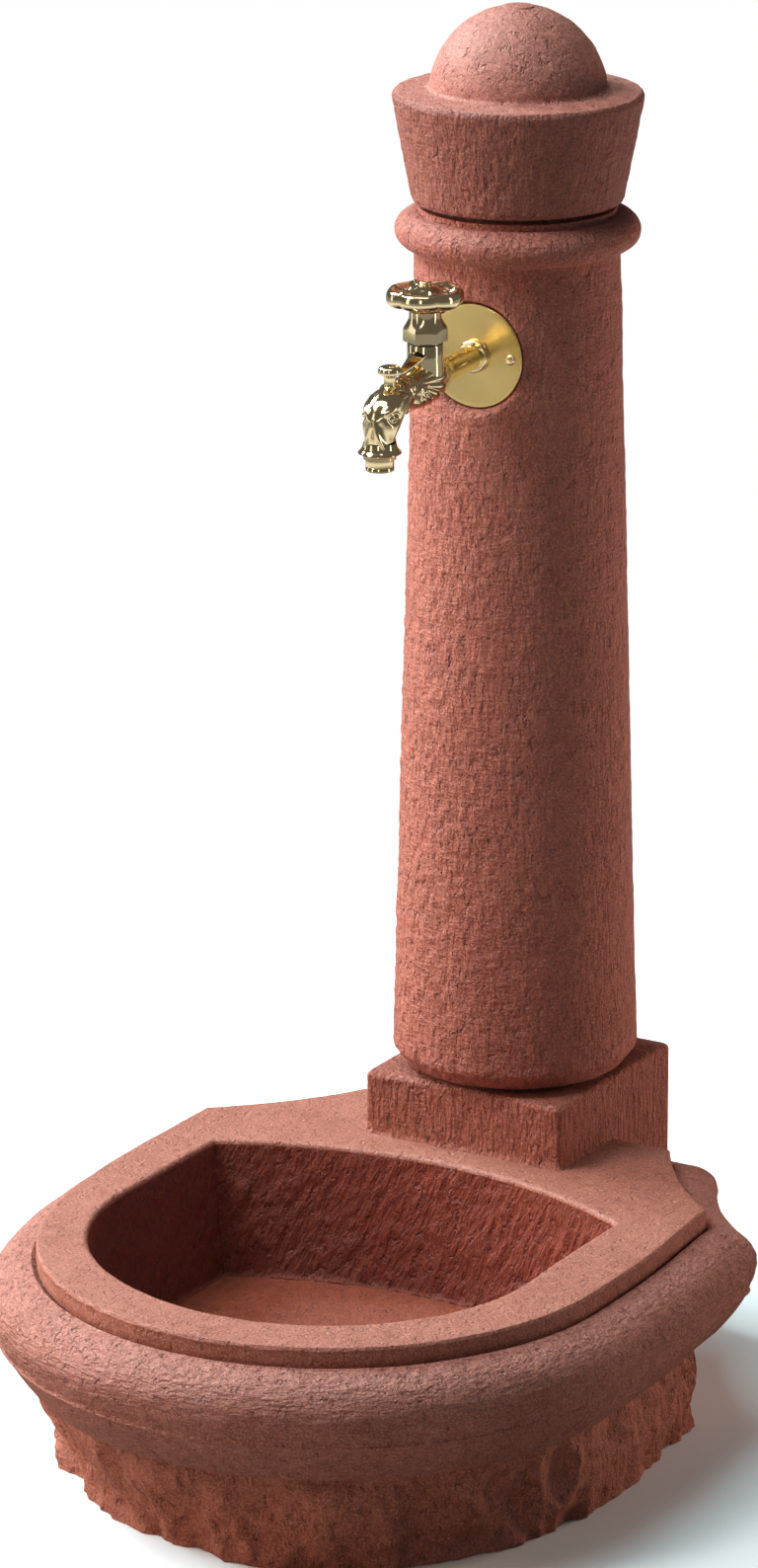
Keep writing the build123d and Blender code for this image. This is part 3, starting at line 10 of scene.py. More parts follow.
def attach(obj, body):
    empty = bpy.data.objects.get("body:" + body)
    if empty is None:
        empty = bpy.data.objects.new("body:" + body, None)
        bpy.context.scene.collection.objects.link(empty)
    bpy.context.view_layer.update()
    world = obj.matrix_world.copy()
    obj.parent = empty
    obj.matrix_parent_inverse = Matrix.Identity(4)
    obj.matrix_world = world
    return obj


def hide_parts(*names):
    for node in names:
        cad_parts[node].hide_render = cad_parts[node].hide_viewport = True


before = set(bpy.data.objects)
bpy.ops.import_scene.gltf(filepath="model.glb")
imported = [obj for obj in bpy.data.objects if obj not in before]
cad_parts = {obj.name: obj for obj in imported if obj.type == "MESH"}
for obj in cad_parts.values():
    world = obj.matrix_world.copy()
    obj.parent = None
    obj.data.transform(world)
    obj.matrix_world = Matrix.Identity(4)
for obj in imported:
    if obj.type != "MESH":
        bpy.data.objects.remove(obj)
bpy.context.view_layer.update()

MM = 0.001

# Lengths of the fountain are in millimetres, those of the studio round it in metres
COLUMN_TURN = radians(3.5)
TAP_OUT = Vector((sin(COLUMN_TURN), -cos(COLUMN_TURN), 0))
TAP_SIDE = Vector((cos(COLUMN_TURN), sin(COLUMN_TURN), 0))
TAP_HEIGHT = 846.5
VALVE_OUT = 160.5
MUZZLE_OUT = 237

# Camera, fitted to the photograph
CAMERA_AZIMUTH = 29.751
CAMERA_DISTANCE = 5171.57
CAMERA_HEIGHT = 2089.4
CAMERA_PITCH = 17.333
CAMERA_ROLL = 0.195
CAMERA_LENS = 153.8
CAMERA_SHIFT = (-0.08734, -0.00089)


def camera_axes():
    """Right, up and backward directions of the camera, and its place."""
    turn = radians(CAMERA_AZIMUTH)
    dip = radians(CAMERA_PITCH)
    roll = radians(CAMERA_ROLL)
    forward = Vector((-sin(turn) * cos(dip), cos(turn) * cos(dip), -sin(dip)))
    level_right = Vector((cos(turn), sin(turn), 0))
    level_up = level_right.cross(forward)
    right = cos(roll) * level_right + sin(roll) * level_up
    up = cos(roll) * level_up - sin(roll) * level_right
    place = Vector((CAMERA_DISTANCE * sin(turn), -CAMERA_DISTANCE * cos(turn), CAMERA_HEIGHT)) * MM
    return right, up, -forward, place


def make_camera():
    data = bpy.data.cameras.new("camera")
    data.sensor_fit = "VERTICAL"
    data.sensor_height = 36
    data.lens = CAMERA_LENS
    data.shift_x, data.shift_y = CAMERA_SHIFT
    data.clip_end = 50
    camera = bpy.data.objects.new("camera", data)
    bpy.context.scene.collection.objects.link(camera)
    right, up, back, place = camera_axes()
    turned = Matrix((right, up, back)).transposed().to_4x4()
    camera.matrix_world = Matrix.Translation(place) @ turned
    bpy.context.scene.camera = camera


make_camera()


def from_camera(sideways, towards, height):
    """Point in metres: to the right in the picture, towards the camera, and up."""
    turn = radians(CAMERA_AZIMUTH)
    across = sideways * cos(turn) + towards * sin(turn)
    return Vector((across, sideways * sin(turn) - towards * cos(turn), height))


def soft_light(name, place, target, size, power, colour, mirrored_in):
    data = bpy.data.lights.new(name, "AREA")
    data.shape = "RECTANGLE"
    data.size, data.size_y = size
    data.energy = power
    data.color = colour
    light = bpy.data.objects.new(name, data)
    bpy.context.scene.collection.objects.link(light)
    light.location = place
    light.rotation_euler = (place - target).to_track_quat("Z", "Y").to_euler()
    light.visible_glossy = mirrored_in


MIDDLE = Vector((0, -0.1, 0.5))
ROLL_LEFT = from_camera(-0.3, 0.15, 0.13)
BASE_MIDDLE = from_camera(0, 0, 0.22)
# Name, place from the camera, target, width and height, power, colour, mirrored by the metal
LIGHTS = (
    ("key_behind", (-2.2, -1.4, 2.7), MIDDLE, (1.2, 1.2), 140, (0.82, 0.97, 1), True),
    ("key_above", (-2.0, 0.6, 3.3), MIDDLE, (1.2, 1.2), 98, (0.94, 0.93, 0.96), True),
    ("left_edge", (-1.75, -0.4, 0.75), ROLL_LEFT, (0.6, 0.6), 42, (0.84, 0.96, 1), False),
    ("left_fill", (-3.0, 0.8, 1.3), MIDDLE, (1.2, 1.8), 40, (1, 0.66, 0.44), False),
    ("right_edge", (1.4, -0.55, 0.3), BASE_MIDDLE, (0.6, 0.7), 20, (1, 0.84, 0.74), False),
    ("top_fill", (-0.6, 0.1, 4.0), MIDDLE, (1.6, 1.6), 66, (0.7, 0.94, 1), False),
    ("front_fill", (-0.6, 3.6, 0.8), MIDDLE, (1.8, 1.2), 5, (1, 0.7, 0.5), False),
    ("high_fill", (-2.2, 2.8, 2.4), MIDDLE, (1.4, 1.8), 11, (1, 0.75, 0.6), False),
)
for light_name, light_place, *light_settings in LIGHTS:
    soft_light(light_name, from_camera(*light_place), *light_settings)


def cleared_tree(owner):
    owner.use_nodes = True
    owner.node_tree.nodes.clear()
    return owner.node_tree


def link(tree, source, node_made, socket):
    """Feeds a node's input from another output, or sets it to a plain value."""
    target = node_made.inputs[socket]
    if isinstance(source, bpy.types.NodeSocket):
        tree.links.new(source, target)
    else:
        target.default_value = source


def mathed(tree, operation, first, second=0.0, third=0.0):
    made = tree.nodes.new("ShaderNodeMath")
    made.operation = operation
    for index, value in enumerate((first, second, third)):
        link(tree, value, made, index)
    return made.outputs[0]


def ranged(tree, value, low, high, new_low=0.0, new_high=1.0, course="LINEAR"):
    """Value carried from the range low to high over to a new range, and held within it."""
    made = tree.nodes.new("ShaderNodeMapRange")
    made.interpolation_type = course
    link(tree, value, made, "Value")
    made.inputs["From Min"].default_value = low
    made.inputs["From Max"].default_value = high
    made.inputs["To Min"].default_value = new_low
    made.inputs["To Max"].default_value = new_high
    return made.outputs["Result"]


def stretched_noise(tree, place, size, detail=3, rough=0.55, scale=(1, 1, 1)):
    """Noise from 0 to 1 over a place that is first scaled, which stretches its lumps."""
    mapping = tree.nodes.new("ShaderNodeVectorMath")
    mapping.operation = "MULTIPLY"
    tree.links.new(place, mapping.inputs[0])
    mapping.inputs[1].default_value = scale
    made = tree.nodes.new("ShaderNodeTexNoise")
    tree.links.new(mapping.outputs[0], made.inputs["Vector"])
    made.inputs["Scale"].default_value = size
    made.inputs["Detail"].default_value = detail
    made.inputs["Roughness"].default_value = rough
    return made.outputs[0]


def colour_mix(tree, share, first, second, blend="MIX"):
    """Mix of two colours; a mixing node's sockets for them come after those for numbers."""
    made = tree.nodes.new("ShaderNodeMix")
    made.data_type = "RGBA"
    made.blend_type = blend
    made.clamp_factor = True
    for index, value in ((0, share), (6, first), (7, second)):
        link(tree, value, made, index)
    return made.outputs[2]


def shader(tree, kind, colour=(1, 1, 1), strength=None):
    """Shader of one colour, and of a strength where it gives light."""
    made = tree.nodes.new(kind)
    made.inputs["Color"].default_value = (*colour, 1)
    if strength is not None:
        link(tree, strength, made, "Strength")
    return made.outputs[0]


def shader_mix(tree, share, first, second):
    made = tree.nodes.new("ShaderNodeMixShader")
    for index, value in enumerate((share, first, second)):
        link(tree, value, made, index)
    return made.outputs[0]


def shown(tree, surface, kind="ShaderNodeOutputMaterial"):
    tree.links.new(surface, tree.nodes.new(kind).inputs["Surface"])


def new_object(name, shape, material):
    """Object of a shape, which is used up."""
    mesh = bpy.data.meshes.new(name)
    shape.to_mesh(mesh)
    shape.free()
    mesh.materials.append(material)
    made = bpy.data.objects.new(name, mesh)
    bpy.context.scene.collection.objects.link(made)
    return made


TAP_PLACE = Vector((0, -0.16, 0.85))
# Name, place from the camera, width, height, strength
CARDS = (
    ("left_card", (-1.7, 1.1, 1.2), 0.4, 1.6, 1.5),
    ("edge_card", (-1.9, -0.4, 0.95), 0.35, 1, 1.3),
    ("front_card", (-0.5, 2.6, 1.5), 0.3, 1.4, 2.4),
    ("top_card", (-0.3, 0.7, 2.6), 1.4, 0.6, 3),
    ("right_card", (2.1, 0.6, 1.1), 0.3, 1.8, 3),
)


def make_card(name, place, width, height, strength):
    """Bright card that only the polished metal mirrors."""
    shape = bmesh.new()
    bmesh.ops.create_grid(shape, x_segments=1, y_segments=1, size=0.5)
    bmesh.ops.scale(shape, vec=(width, height, 1), verts=shape.verts)
    turn = (TAP_PLACE - place).to_track_quat("Z", "Y").to_matrix().to_4x4()
    bmesh.ops.transform(shape, matrix=Matrix.Translation(place) @ turn, verts=shape.verts)
    material = bpy.data.materials.new(name)
    tree = cleared_tree(material)
    shown(tree, shader(tree, "ShaderNodeEmission", strength=strength))
    card = new_object(name, shape, material)
    card.visible_camera = False
    card.visible_diffuse = False
    card.visible_shadow = False
    card.visible_transmission = False


for card_name, card_place, *card_settings in CARDS:
    make_card(card_name, from_camera(*card_place), *card_settings)


def make_world():
    """Backdrop that the camera sees white, and that lights the fountain faintly."""
    world = bpy.data.worlds.new("studio")
    bpy.context.scene.world = world
    tree = cleared_tree(world)
    path = tree.nodes.new("ShaderNodeLightPath")
    strength = mathed(tree, "MULTIPLY_ADD", path.outputs["Is Glossy Ray"], 0.08, 0.04)
    light = shader(tree, "ShaderNodeBackground", (1, 0.94, 0.9), strength)
    seen = shader(tree, "ShaderNodeBackground")
    mix = shader_mix(tree, path.outputs["Is Camera Ray"], light, seen)
    shown(tree, mix, "ShaderNodeOutputWorld")


make_world()
bpy.context.scene.view_settings.view_transform = "Standard"


def make_floor():
    """Pale floor that fades to white; bounce light finds it warm and dim, and the metal mirrors a
    painted reflection on it, a white glow that is faint near the fountain.
    """
    shape = bmesh.new()
    bmesh.ops.create_circle(shape, cap_ends=True, segments=96, radius=9)
    material = bpy.data.materials.new("pale_floor")
    tree = cleared_tree(material)
    measure = tree.nodes.new("ShaderNodeVectorMath")
    measure.operation = "LENGTH"
    tree.links.new(tree.nodes.new("ShaderNodeTexCoord").outputs["Object"], measure.inputs[0])
    distance = measure.outputs["Value"]
    fade = ranged(tree, distance, 0.55, 1.6, course="SMOOTHSTEP")
    dull = shader(tree, "ShaderNodeBsdfDiffuse", (0.8, 0.86, 0.88))
    pale = shader_mix(tree, fade, dull, shader(tree, "ShaderNodeEmission"))
    # Painted reflection: for glossy rays the floor glows white, faint near the fountain and
    # brightest in a ring further out, so the brass mirrors a lit floor
    rising = ranged(tree, distance, 0.7, 1.4, 0.04, 1)
    falling = ranged(tree, distance, 1.7, 3.2, 1, 0.3)
    strength = mathed(tree, "MULTIPLY", rising, falling)
    warm = shader(tree, "ShaderNodeBsdfDiffuse", (0.42, 0.33, 0.28))
    painted_floor_reflection = shader(tree, "ShaderNodeEmission", strength=strength)
    path = tree.nodes.new("ShaderNodeLightPath")
    mirrored_in = shader_mix(tree, path.outputs["Is Glossy Ray"], warm, painted_floor_reflection)
    shown(tree, shader_mix(tree, path.outputs["Is Camera Ray"], mirrored_in, pale))
    floor = new_object("floor", shape, material)
    floor.location.z = -0.0005


make_floor()


def make_stone_group():
    """Cast stone of crushed red rock: mottled colour, sandy grain and tooling."""
    tree = bpy.data.node_groups.new("cast_stone", "ShaderNodeTree")
    for title, way, kind in (
        ("Place", "INPUT", "NodeSocketVector"),
        ("Upright Tooling", "INPUT", "NodeSocketFloat"),
        ("Level Tooling", "INPUT", "NodeSocketFloat"),
        ("Tint", "INPUT", "NodeSocketColor"),
        ("Colour", "OUTPUT", "NodeSocketColor"),
        ("Roughness", "OUTPUT", "NodeSocketFloat"),
        ("Height", "OUTPUT", "NodeSocketFloat"),
    ):
        tree.interface.new_socket(title, in_out=way, socket_type=kind)
    given = tree.nodes.new("NodeGroupInput")
    out = tree.nodes.new("NodeGroupOutput")
    place = given.outputs["Place"]
    broad = stretched_noise(tree, place, 16)
    blotch = stretched_noise(tree, place, 95, 5, 0.62)
    grain = stretched_noise(tree, place, 560, 3, 0.75)
    speck = stretched_noise(tree, place, 1100, 1)
    upright = stretched_noise(tree, place, 240, 3, 0.6, (1, 1, 0.24))
    upright = ranged(tree, upright, 0.36, 0.66)
    level = stretched_noise(tree, place, 300, 3, 0.6, (0.26, 0.26, 1))
    level = ranged(tree, level, 0.38, 0.66)
    pits = ranged(tree, stretched_noise(tree, place, 170, scale=(1, 1, 0.7)), 0.3, 0.42)
    height = mathed(tree, "MULTIPLY", grain, 0.42)
    height = mathed(tree, "MULTIPLY_ADD", blotch, 0.9, height)
    height = mathed(tree, "MULTIPLY_ADD", pits, 0.9, height)
    tooling = mathed(tree, "MULTIPLY", upright, given.outputs["Upright Tooling"])
    tooling = mathed(tree, "MULTIPLY_ADD", level, given.outputs["Level Tooling"], tooling)
    height = mathed(tree, "ADD", height, tooling)
    dark_stone = (0.24, 0.062, 0.037, 1)
    light_stone = (0.29, 0.086, 0.056, 1)
    colour = colour_mix(tree, ranged(tree, broad, 0.3, 0.7), dark_stone, light_stone)
    # Pattern, the values between which another colour comes in, its largest share, the colour
    for pattern, low, high, share, layer in (
        (blotch, 0.45, 0.7, 0.6, (0.36, 0.125, 0.084, 1)),
        (blotch, 0.46, 0.3, 0.5, (0.18, 0.038, 0.02, 1)),
        (grain, 0.5, 0.64, 0.75, (0.46, 0.2, 0.15, 1)),
        (grain, 0.47, 0.34, 0.8, (0.1, 0.022, 0.013, 1)),
        (speck, 0.66, 0.76, 0.6, (0.55, 0.33, 0.27, 1)),
    ):
        colour = colour_mix(tree, ranged(tree, pattern, low, high, 0, share), colour, layer)
    colour = colour_mix(tree, 1, colour, given.outputs["Tint"], "MULTIPLY")
    tree.links.new(colour, out.inputs["Colour"])
    tree.links.new(ranged(tree, grain, 0.3, 0.7, 0.56, 0.74), out.inputs["Roughness"])
    tree.links.new(height, out.inputs["Height"])
    return tree


def new_material(name):
    material = bpy.data.materials.new(name)
    tree = cleared_tree(material)
    surface = tree.nodes.new("ShaderNodeBsdfPrincipled")
    shown(tree, surface.outputs[0])
    place = tree.nodes.new("ShaderNodeTexCoord").outputs["Object"]
    return material, tree, surface, place


def bumped(tree, surface, height, distance):
    made = tree.nodes.new("ShaderNodeBump")
    made.inputs["Strength"].default_value = 1
    made.inputs["Distance"].default_value = distance
    tree.links.new(height, made.inputs["Height"])
    tree.links.new(made.outputs[0], surface.inputs["Normal"])


stone_group = make_stone_group()


def make_stone(name, upright, level, distance, tint, lean=0.0):
    """Stone with shares of upright and level tooling, a depth of grain in metres and a tint."""
    material, tree, surface, place = new_material(name)
    if lean:
        leaning = tree.nodes.new("ShaderNodeVectorRotate")
        leaning.rotation_type = "Y_AXIS"
        leaning.inputs["Angle"].default_value = radians(lean)
        tree.links.new(place, leaning.inputs["Vector"])
        place = leaning.outputs[0]
    stone = tree.nodes.new("ShaderNodeGroup")
    stone.node_tree = stone_group
    tree.links.new(place, stone.inputs["Place"])
    stone.inputs["Upright Tooling"].default_value = upright
    stone.inputs["Level Tooling"].default_value = level
    stone.inputs["Tint"].default_value = (*tint, 1)
    surface.inputs["Specular IOR Level"].default_value = 0.75
    tree.links.new(stone.outputs["Colour"], surface.inputs["Base Color"])
    tree.links.new(stone.outputs["Roughness"], surface.inputs["Roughness"])
    bumped(tree, surface, stone.outputs["Height"], distance)
    return material


stone_tooled = make_stone("tooled_stone", 0.4, 0.3, 0.0024, (1.06, 0.92, 0.86))
# Painted shade: the cone's darker tint stands in for the shade under its overhang
stone_cone_painted_shade = make_stone("tooled_stone_painted_shade", 0.6, 0.35, 0.0018, (0.72, 0.58, 0.51))
stone_dome = make_stone("sandy_stone", 0.0, 0.1, 0.0014, (1.1, 1.14, 1.18))
# Painted shade: the plinth block's darker tint stands in for the shade on its front
stone_block_painted_shade = make_stone("upright_tooled_stone_painted_shade", 0.7, 0.15, 0.0018, (0.84, 0.68, 0.58))
# Painted sheen: the roll's paler, less red tint stands in for the whitish sheen of the light on it
stone_roll_painted_sheen = make_stone("roll_stone_painted_sheen", 0.0, 0.7, 0.0022, (1.02, 1.1, 1.14))
stone_slab = make_stone("smooth_stone", 0.0, 0.0, 0.0011, (0.98, 1.02, 0.98))
# Painted shade: the bowl wall's much darker, redder tint stands in for the shade inside the bowl
stone_bowl_painted_shade = make_stone("bowl_stone_painted_shade", 0.6, 0.0, 0.0018, (0.57, 0.26, 0.13), -22)
# Partly the floor's own smooth orange-brown colour, partly painted shade: its tint is darkened for
# the shade inside the bowl
bowl_floor_colour_and_painted_shade = make_stone("bowl_floor_stone_and_painted_shade", 0.0, 0.0, 0.0012, (0.76, 0.42, 0.22))
stone_rock = make_stone("rock_faced_stone", 0.2, 0.0, 0.0028, (1.14, 1.12, 1.03))


def plain_material(name, colour, second, roughness, metallic=0.0, scale=60.0, bump=0.0002):
    """Material with soft changes of colour and finish."""
    material, tree, surface, place = new_material(name)
    cloud = stretched_noise(tree, place, scale, 4)
    tint = colour_mix(tree, ranged(tree, cloud, 0.35, 0.65), (*colour, 1), (*second, 1))
    tree.links.new(tint, surface.inputs["Base Color"])
    dullness = ranged(tree, cloud, 0.3, 0.7, roughness * 0.8, roughness * 1.25)
    tree.links.new(dullness, surface.inputs["Roughness"])
    surface.inputs["Metallic"].default_value = metallic
    fine = stretched_noise(tree, place, scale * 8, 2)
    bumped(tree, surface, fine, bump)
    return material


BRASS = ((0.87, 0.71, 0.42), (0.84, 0.68, 0.38))
brass = plain_material("polished_brass", *BRASS, 0.1, 1.0, 90, 0.00001)


def make_turned_brass():
    """Brass plate with the fine rings that turning on a lathe leaves."""
    material, tree, surface, place = new_material("turned_brass")
    sideways = tree.nodes.new("ShaderNodeVectorMath")
    sideways.operation = "DOT_PRODUCT"
    tree.links.new(place, sideways.inputs[0])
    sideways.inputs[1].default_value = TAP_SIDE
    split = tree.nodes.new("ShaderNodeSeparateXYZ")
    tree.links.new(place, split.inputs[0])
    rise = mathed(tree, "SUBTRACT", split.outputs["Z"], TAP_HEIGHT * MM)
    across = mathed(tree, "MULTIPLY", sideways.outputs["Value"], sideways.outputs["Value"])
    radius = mathed(tree, "SQRT", mathed(tree, "MULTIPLY_ADD", rise, rise, across))
    rings = mathed(tree, "SINE", mathed(tree, "MULTIPLY", radius, 22000))
    cloud = stretched_noise(tree, place, 25, 2)
    share = ranged(tree, cloud, 0.35, 0.65)
    tint = colour_mix(tree, share, (0.74, 0.56, 0.23, 1), (0.7, 0.51, 0.19, 1))
    tree.links.new(tint, surface.inputs["Base Color"])
    surface.inputs["Metallic"].default_value = 1
    surface.inputs["Roughness"].default_value = 0.26
    bumped(tree, surface, rings, 0.000004)
    return material


turned_brass = make_turned_brass()
# Material slot: material, two colours, roughness, metal, scale and depth of its grain
PLAIN = {
    "plain_brass": ("plain_brass", (0.62, 0.42, 0.16), (0.5, 0.32, 0.12), 0.32, 1.0, 90, 0.0001),
    "mortar": ("mortar", (0.1, 0.045, 0.035), (0.05, 0.02, 0.016), 0.9, 0.0, 200, 0.0006),
    "rubber": ("black_rubber", (0.02, 0.02, 0.021), (0.035, 0.035, 0.035), 0.6),
    "steel": ("stainless_steel", (0.62, 0.61, 0.59), (0.52, 0.51, 0.5), 0.25, 1.0, 120, 0.00005),
    "plug_plastic": ("grey_plastic", (0.32, 0.33, 0.34), (0.27, 0.28, 0.29), 0.45),
}
FINISHES = {slot: plain_material(*settings) for slot, settings in PLAIN.items()}
FINISHES.update({"polished_brass": brass, "stone": stone_tooled})

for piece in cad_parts.values():
    held = piece.data.materials[0].name.split(".")[0]
    piece.data.materials.clear()
    piece.data.materials.append(FINISHES[held])


# Outlines of the basin, seen from above, in millimetres
SLAB_HALF_WIDTH = 235
SLAB_TOP = 186
ROUND_CENTRE = -300
FRONT_STEPS = 240
SIDE_STEPS = 60
CORNER_STEPS = 44
BACK_STEPS = 90
BOWL_HALF_WIDTH = 186
BOWL_BACK_RADIUS = 384.4
BOWL_BACK_CENTRE = -502.4
BOWL_MOUTH = 182  # height at which the rounded mouth ends
BOWL_DRAFT = 0.0875  # how much the wall leans in
BOWL_FLOOR = 72.02
DRAIN_BORE = 25.5
ROLL_WIDEST = 143  # height of the roll's widest line
ROLL_OUT = 39
BAND_FOOT = 82
BAND_OUT = 8
HOLLOW_CENTRE = Vector((446.7, 169.5))
HOLLOW_RADIUS = 345.05


def mirrored(half):
    """Points of the right half, from the front to the back, followed by the left half."""
    return half + [Vector((-point.x, point.y)) for point in reversed(half)]


def right_half(radius, side_end, back_points):
    """Right half of a plan: quarter round at the front, straight side, then the points behind."""
    points = []
    for step in range(FRONT_STEPS // 2):
        angle = pi / 2 * (step + 0.5) / (FRONT_STEPS / 2)
        points.append(Vector((radius * sin(angle), ROUND_CENTRE - radius * cos(angle))))
    for step in range(SIDE_STEPS):
        share = (step + 0.5) / (SIDE_STEPS - 0.5)
        points.append(Vector((radius, ROUND_CENTRE + (side_end - ROUND_CENTRE) * share)))
    return points + back_points


def clamped(value, low=0, high=1):
    return min(high, max(low, value))


def smooth_step(value, low, high):
    share = clamped((value - low) / (high - low))
    return share * share * (3 - 2 * share)


def drawn_right(outline, amount, first, last):
    """Draws the front of a plan to the right, from first to last before the column's middle.

    On its left side this starts further to the front.
    """
    drawn = []
    for point in outline:
        later = 130 * smooth_step(-point.x, 0, 150)
        share = smooth_step(-point.y, first + later, last + later)
        drawn.append(Vector((point.x + amount * share, point.y)))
    return drawn


def basin_outline(out):
    """Plan of the basin, out from the slab's edge: round front, sides, hollow corners, back."""
    width = SLAB_HALF_WIDTH + out
    radius = HOLLOW_RADIUS - out
    back = 2 + out
    soft = 3 + 0.5 * max(0, out)
    corner = HOLLOW_CENTRE.y - sqrt((radius + soft) ** 2 - (HOLLOW_CENTRE.x - width + soft) ** 2)
    inner = HOLLOW_CENTRE.x - sqrt(radius**2 - (HOLLOW_CENTRE.y - back) ** 2)
    corner_centre = Vector((width - soft, corner))
    towards = HOLLOW_CENTRE - corner_centre
    turned_by = atan2(towards.y, towards.x)
    first = turned_by + pi
    last = atan2(back - HOLLOW_CENTRE.y, inner - HOLLOW_CENTRE.x) % (2 * pi)
    rear = []
    for step in range(1, 11):
        angle = turned_by * step / 10
        rear.append(corner_centre + soft * Vector((cos(angle), sin(angle))))
    for step in range(1, CORNER_STEPS - 9):
        angle = first + (last - first) * step / (CORNER_STEPS - 10)
        rear.append(HOLLOW_CENTRE + radius * Vector((cos(angle), sin(angle))))
    for step in range(1, BACK_STEPS // 2 + 1):
        rear.append(Vector((inner * (1 - (step - 0.5) / (BACK_STEPS / 2)), back)))
    return drawn_right(mirrored(right_half(width, corner, rear)), amount=10, first=90, last=240)


def bowl_outline(inset):
    """Plan of the bowl, in from its mouth: round front, sides and curved back."""
    width = BOWL_HALF_WIDTH - inset
    radius = BOWL_BACK_RADIUS - inset
    corner = BOWL_BACK_CENTRE + sqrt(radius**2 - width**2)
    first = asin(width / radius)
    count = CORNER_STEPS + BACK_STEPS // 2
    rear = []
    for step in range(1, count + 1):
        angle = first * (1 - (step - 0.5) / (count - 0.5))
        rear.append(Vector((radius * sin(angle), BOWL_BACK_CENTRE + radius * cos(angle))))
    return drawn_right(mirrored(right_half(width, corner, rear)), amount=9, first=240, last=460)


def drain_outline(radius, around):
    """Circle about the drain, with its points in the directions of another outline's points."""
    centre = Vector((0, ROUND_CENTRE))
    return [centre + radius * (point - centre).normalized() for point in around]


def between(first, second, share):
    return [a.lerp(b, share) for a, b in zip(first, second)]


def carry(shape, ring, points):
    """Carries a closed ring of edges on to the next ring of points."""
    count = len(ring)
    edges = [shape.edges.get((ring[index], ring[(index + 1) % count])) for index in range(count)]
    made = set(bmesh.ops.extrude_edge_only(shape, edges=edges)["geom"])
    carried = []
    for vert, point in zip(ring, points):
        partner = next(e.other_vert(vert) for e in vert.link_edges if e.other_vert(vert) in made)
        partner.co = point
        carried.append(partner)
    return carried


def ringed(rings, close_first=False, close_last=False):
    """Skin over rings, each a list of points or a plan (outline, height)."""
    placed_rings = []
    for ring in rings:
        if isinstance(ring, tuple):
            ring = [Vector((point.x, point.y, ring[1])) for point in ring[0]]
        placed_rings.append(ring)
    shape = bmesh.new()
    count = len(placed_rings[0])
    first = ring = bmesh.ops.create_circle(shape, segments=count, radius=1)["verts"]
    for vert, point in zip(first, placed_rings[0]):
        vert.co = point
    for points in placed_rings[1:]:
        ring = carry(shape, ring, points)
    if close_first:
        shape.faces.new(first)
    if close_last:
        shape.faces.new(ring)
    return shape


def steps_between(first, last, size):
    count = max(1, ceil(abs(last - first) / size))
    return [first + (last - first) * step / count for step in range(1, count + 1)]


def ripple(point, long, wide, high, seed=0.0):
    """Smooth noise from -1 to 1 whose lumps measure long, wide and high millimetres."""
    place = (point.x / long + seed, point.y / wide + seed * 0.7, point.z / high - seed)
    return noise.noise(Vector(place))


def weather(shape, amount):
    """Moves each point along its normal by amount(point, normal) millimetres."""
    bmesh.ops.recalc_face_normals(shape, faces=shape.faces)
    shape.normal_update()
    moves = [vert.normal * amount(vert.co, vert.normal) for vert in shape.verts]
    for vert, move in zip(shape.verts, moves):
        vert.co += move


def finished(name, shape, material, *nodes, body="fountain", crease=38):
    """Makes a piece of the fountain, in metres, that rides a body and may replace nodes."""
    bmesh.ops.remove_doubles(shape, verts=shape.verts, dist=0.001)
    bmesh.ops.recalc_face_normals(shape, faces=shape.faces)
    bmesh.ops.scale(shape, vec=(MM, MM, MM), verts=shape.verts)
    for face in shape.faces:
        face.smooth = True
    for edge in shape.edges:
        if len(edge.link_faces) == 2 and edge.calc_face_angle(0) > radians(crease):
            edge.smooth = False
    piece = new_object(name, shape, material)
    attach(piece, body)
    if nodes:
        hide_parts(*nodes)


def quarter(centre_out, centre_height, half_width, half_height, first, last, count):
    """Points (out, height) along an ellipse, angles in degrees from straight out, upwards."""
    points = []
    for step in range(count + 1):
        angle = radians(first + (last - first) * step / count)
        out = centre_out + half_width * cos(angle)
        points.append((out, centre_height + half_height * sin(angle)))
    return points


def make_slab():
    """Top slab: its edge and the flat rim up to the mouth of the bowl."""
    rings = [(basin_outline(-8), 167), (basin_outline(-1), 167)]
    rings += [(basin_outline(-0.2), height) for height in (171, 174, 177, 180, 182.5)]
    rings += [(basin_outline(out), height) for out, height in quarter(-3, 183, 3, 3, 0, 90, 4)]
    mouth = bowl_outline(-4)
    edge = basin_outline(-3)
    rings += [(between(edge, mouth, step / 18), SLAB_TOP) for step in range(1, 19)]
    lip = quarter(-4, BOWL_MOUTH, 4, 4, 90, 0, 5)[1:]
    rings += [(bowl_outline(out), height) for out, height in lip]

    def amount(point, normal):
        if point.z > SLAB_TOP - 0.5 or normal.dot(point - Vector((0, -250, point.z))) < 0:
            return 0.35 * ripple(point, 22, 22, 22) + 0.2 * ripple(point, 6, 6, 6, 3)
        if abs(normal.z) < 0.8:
            return 0.5 * ripple(point, 9, 9, 5, 5) + 0.35 * ripple(point, 3.5, 3.5, 3.5, 9) - 0.5
        return 0

    shape = ringed(rings)
    weather(shape, amount)
    finished("top_slab", shape, stone_slab, "basin")


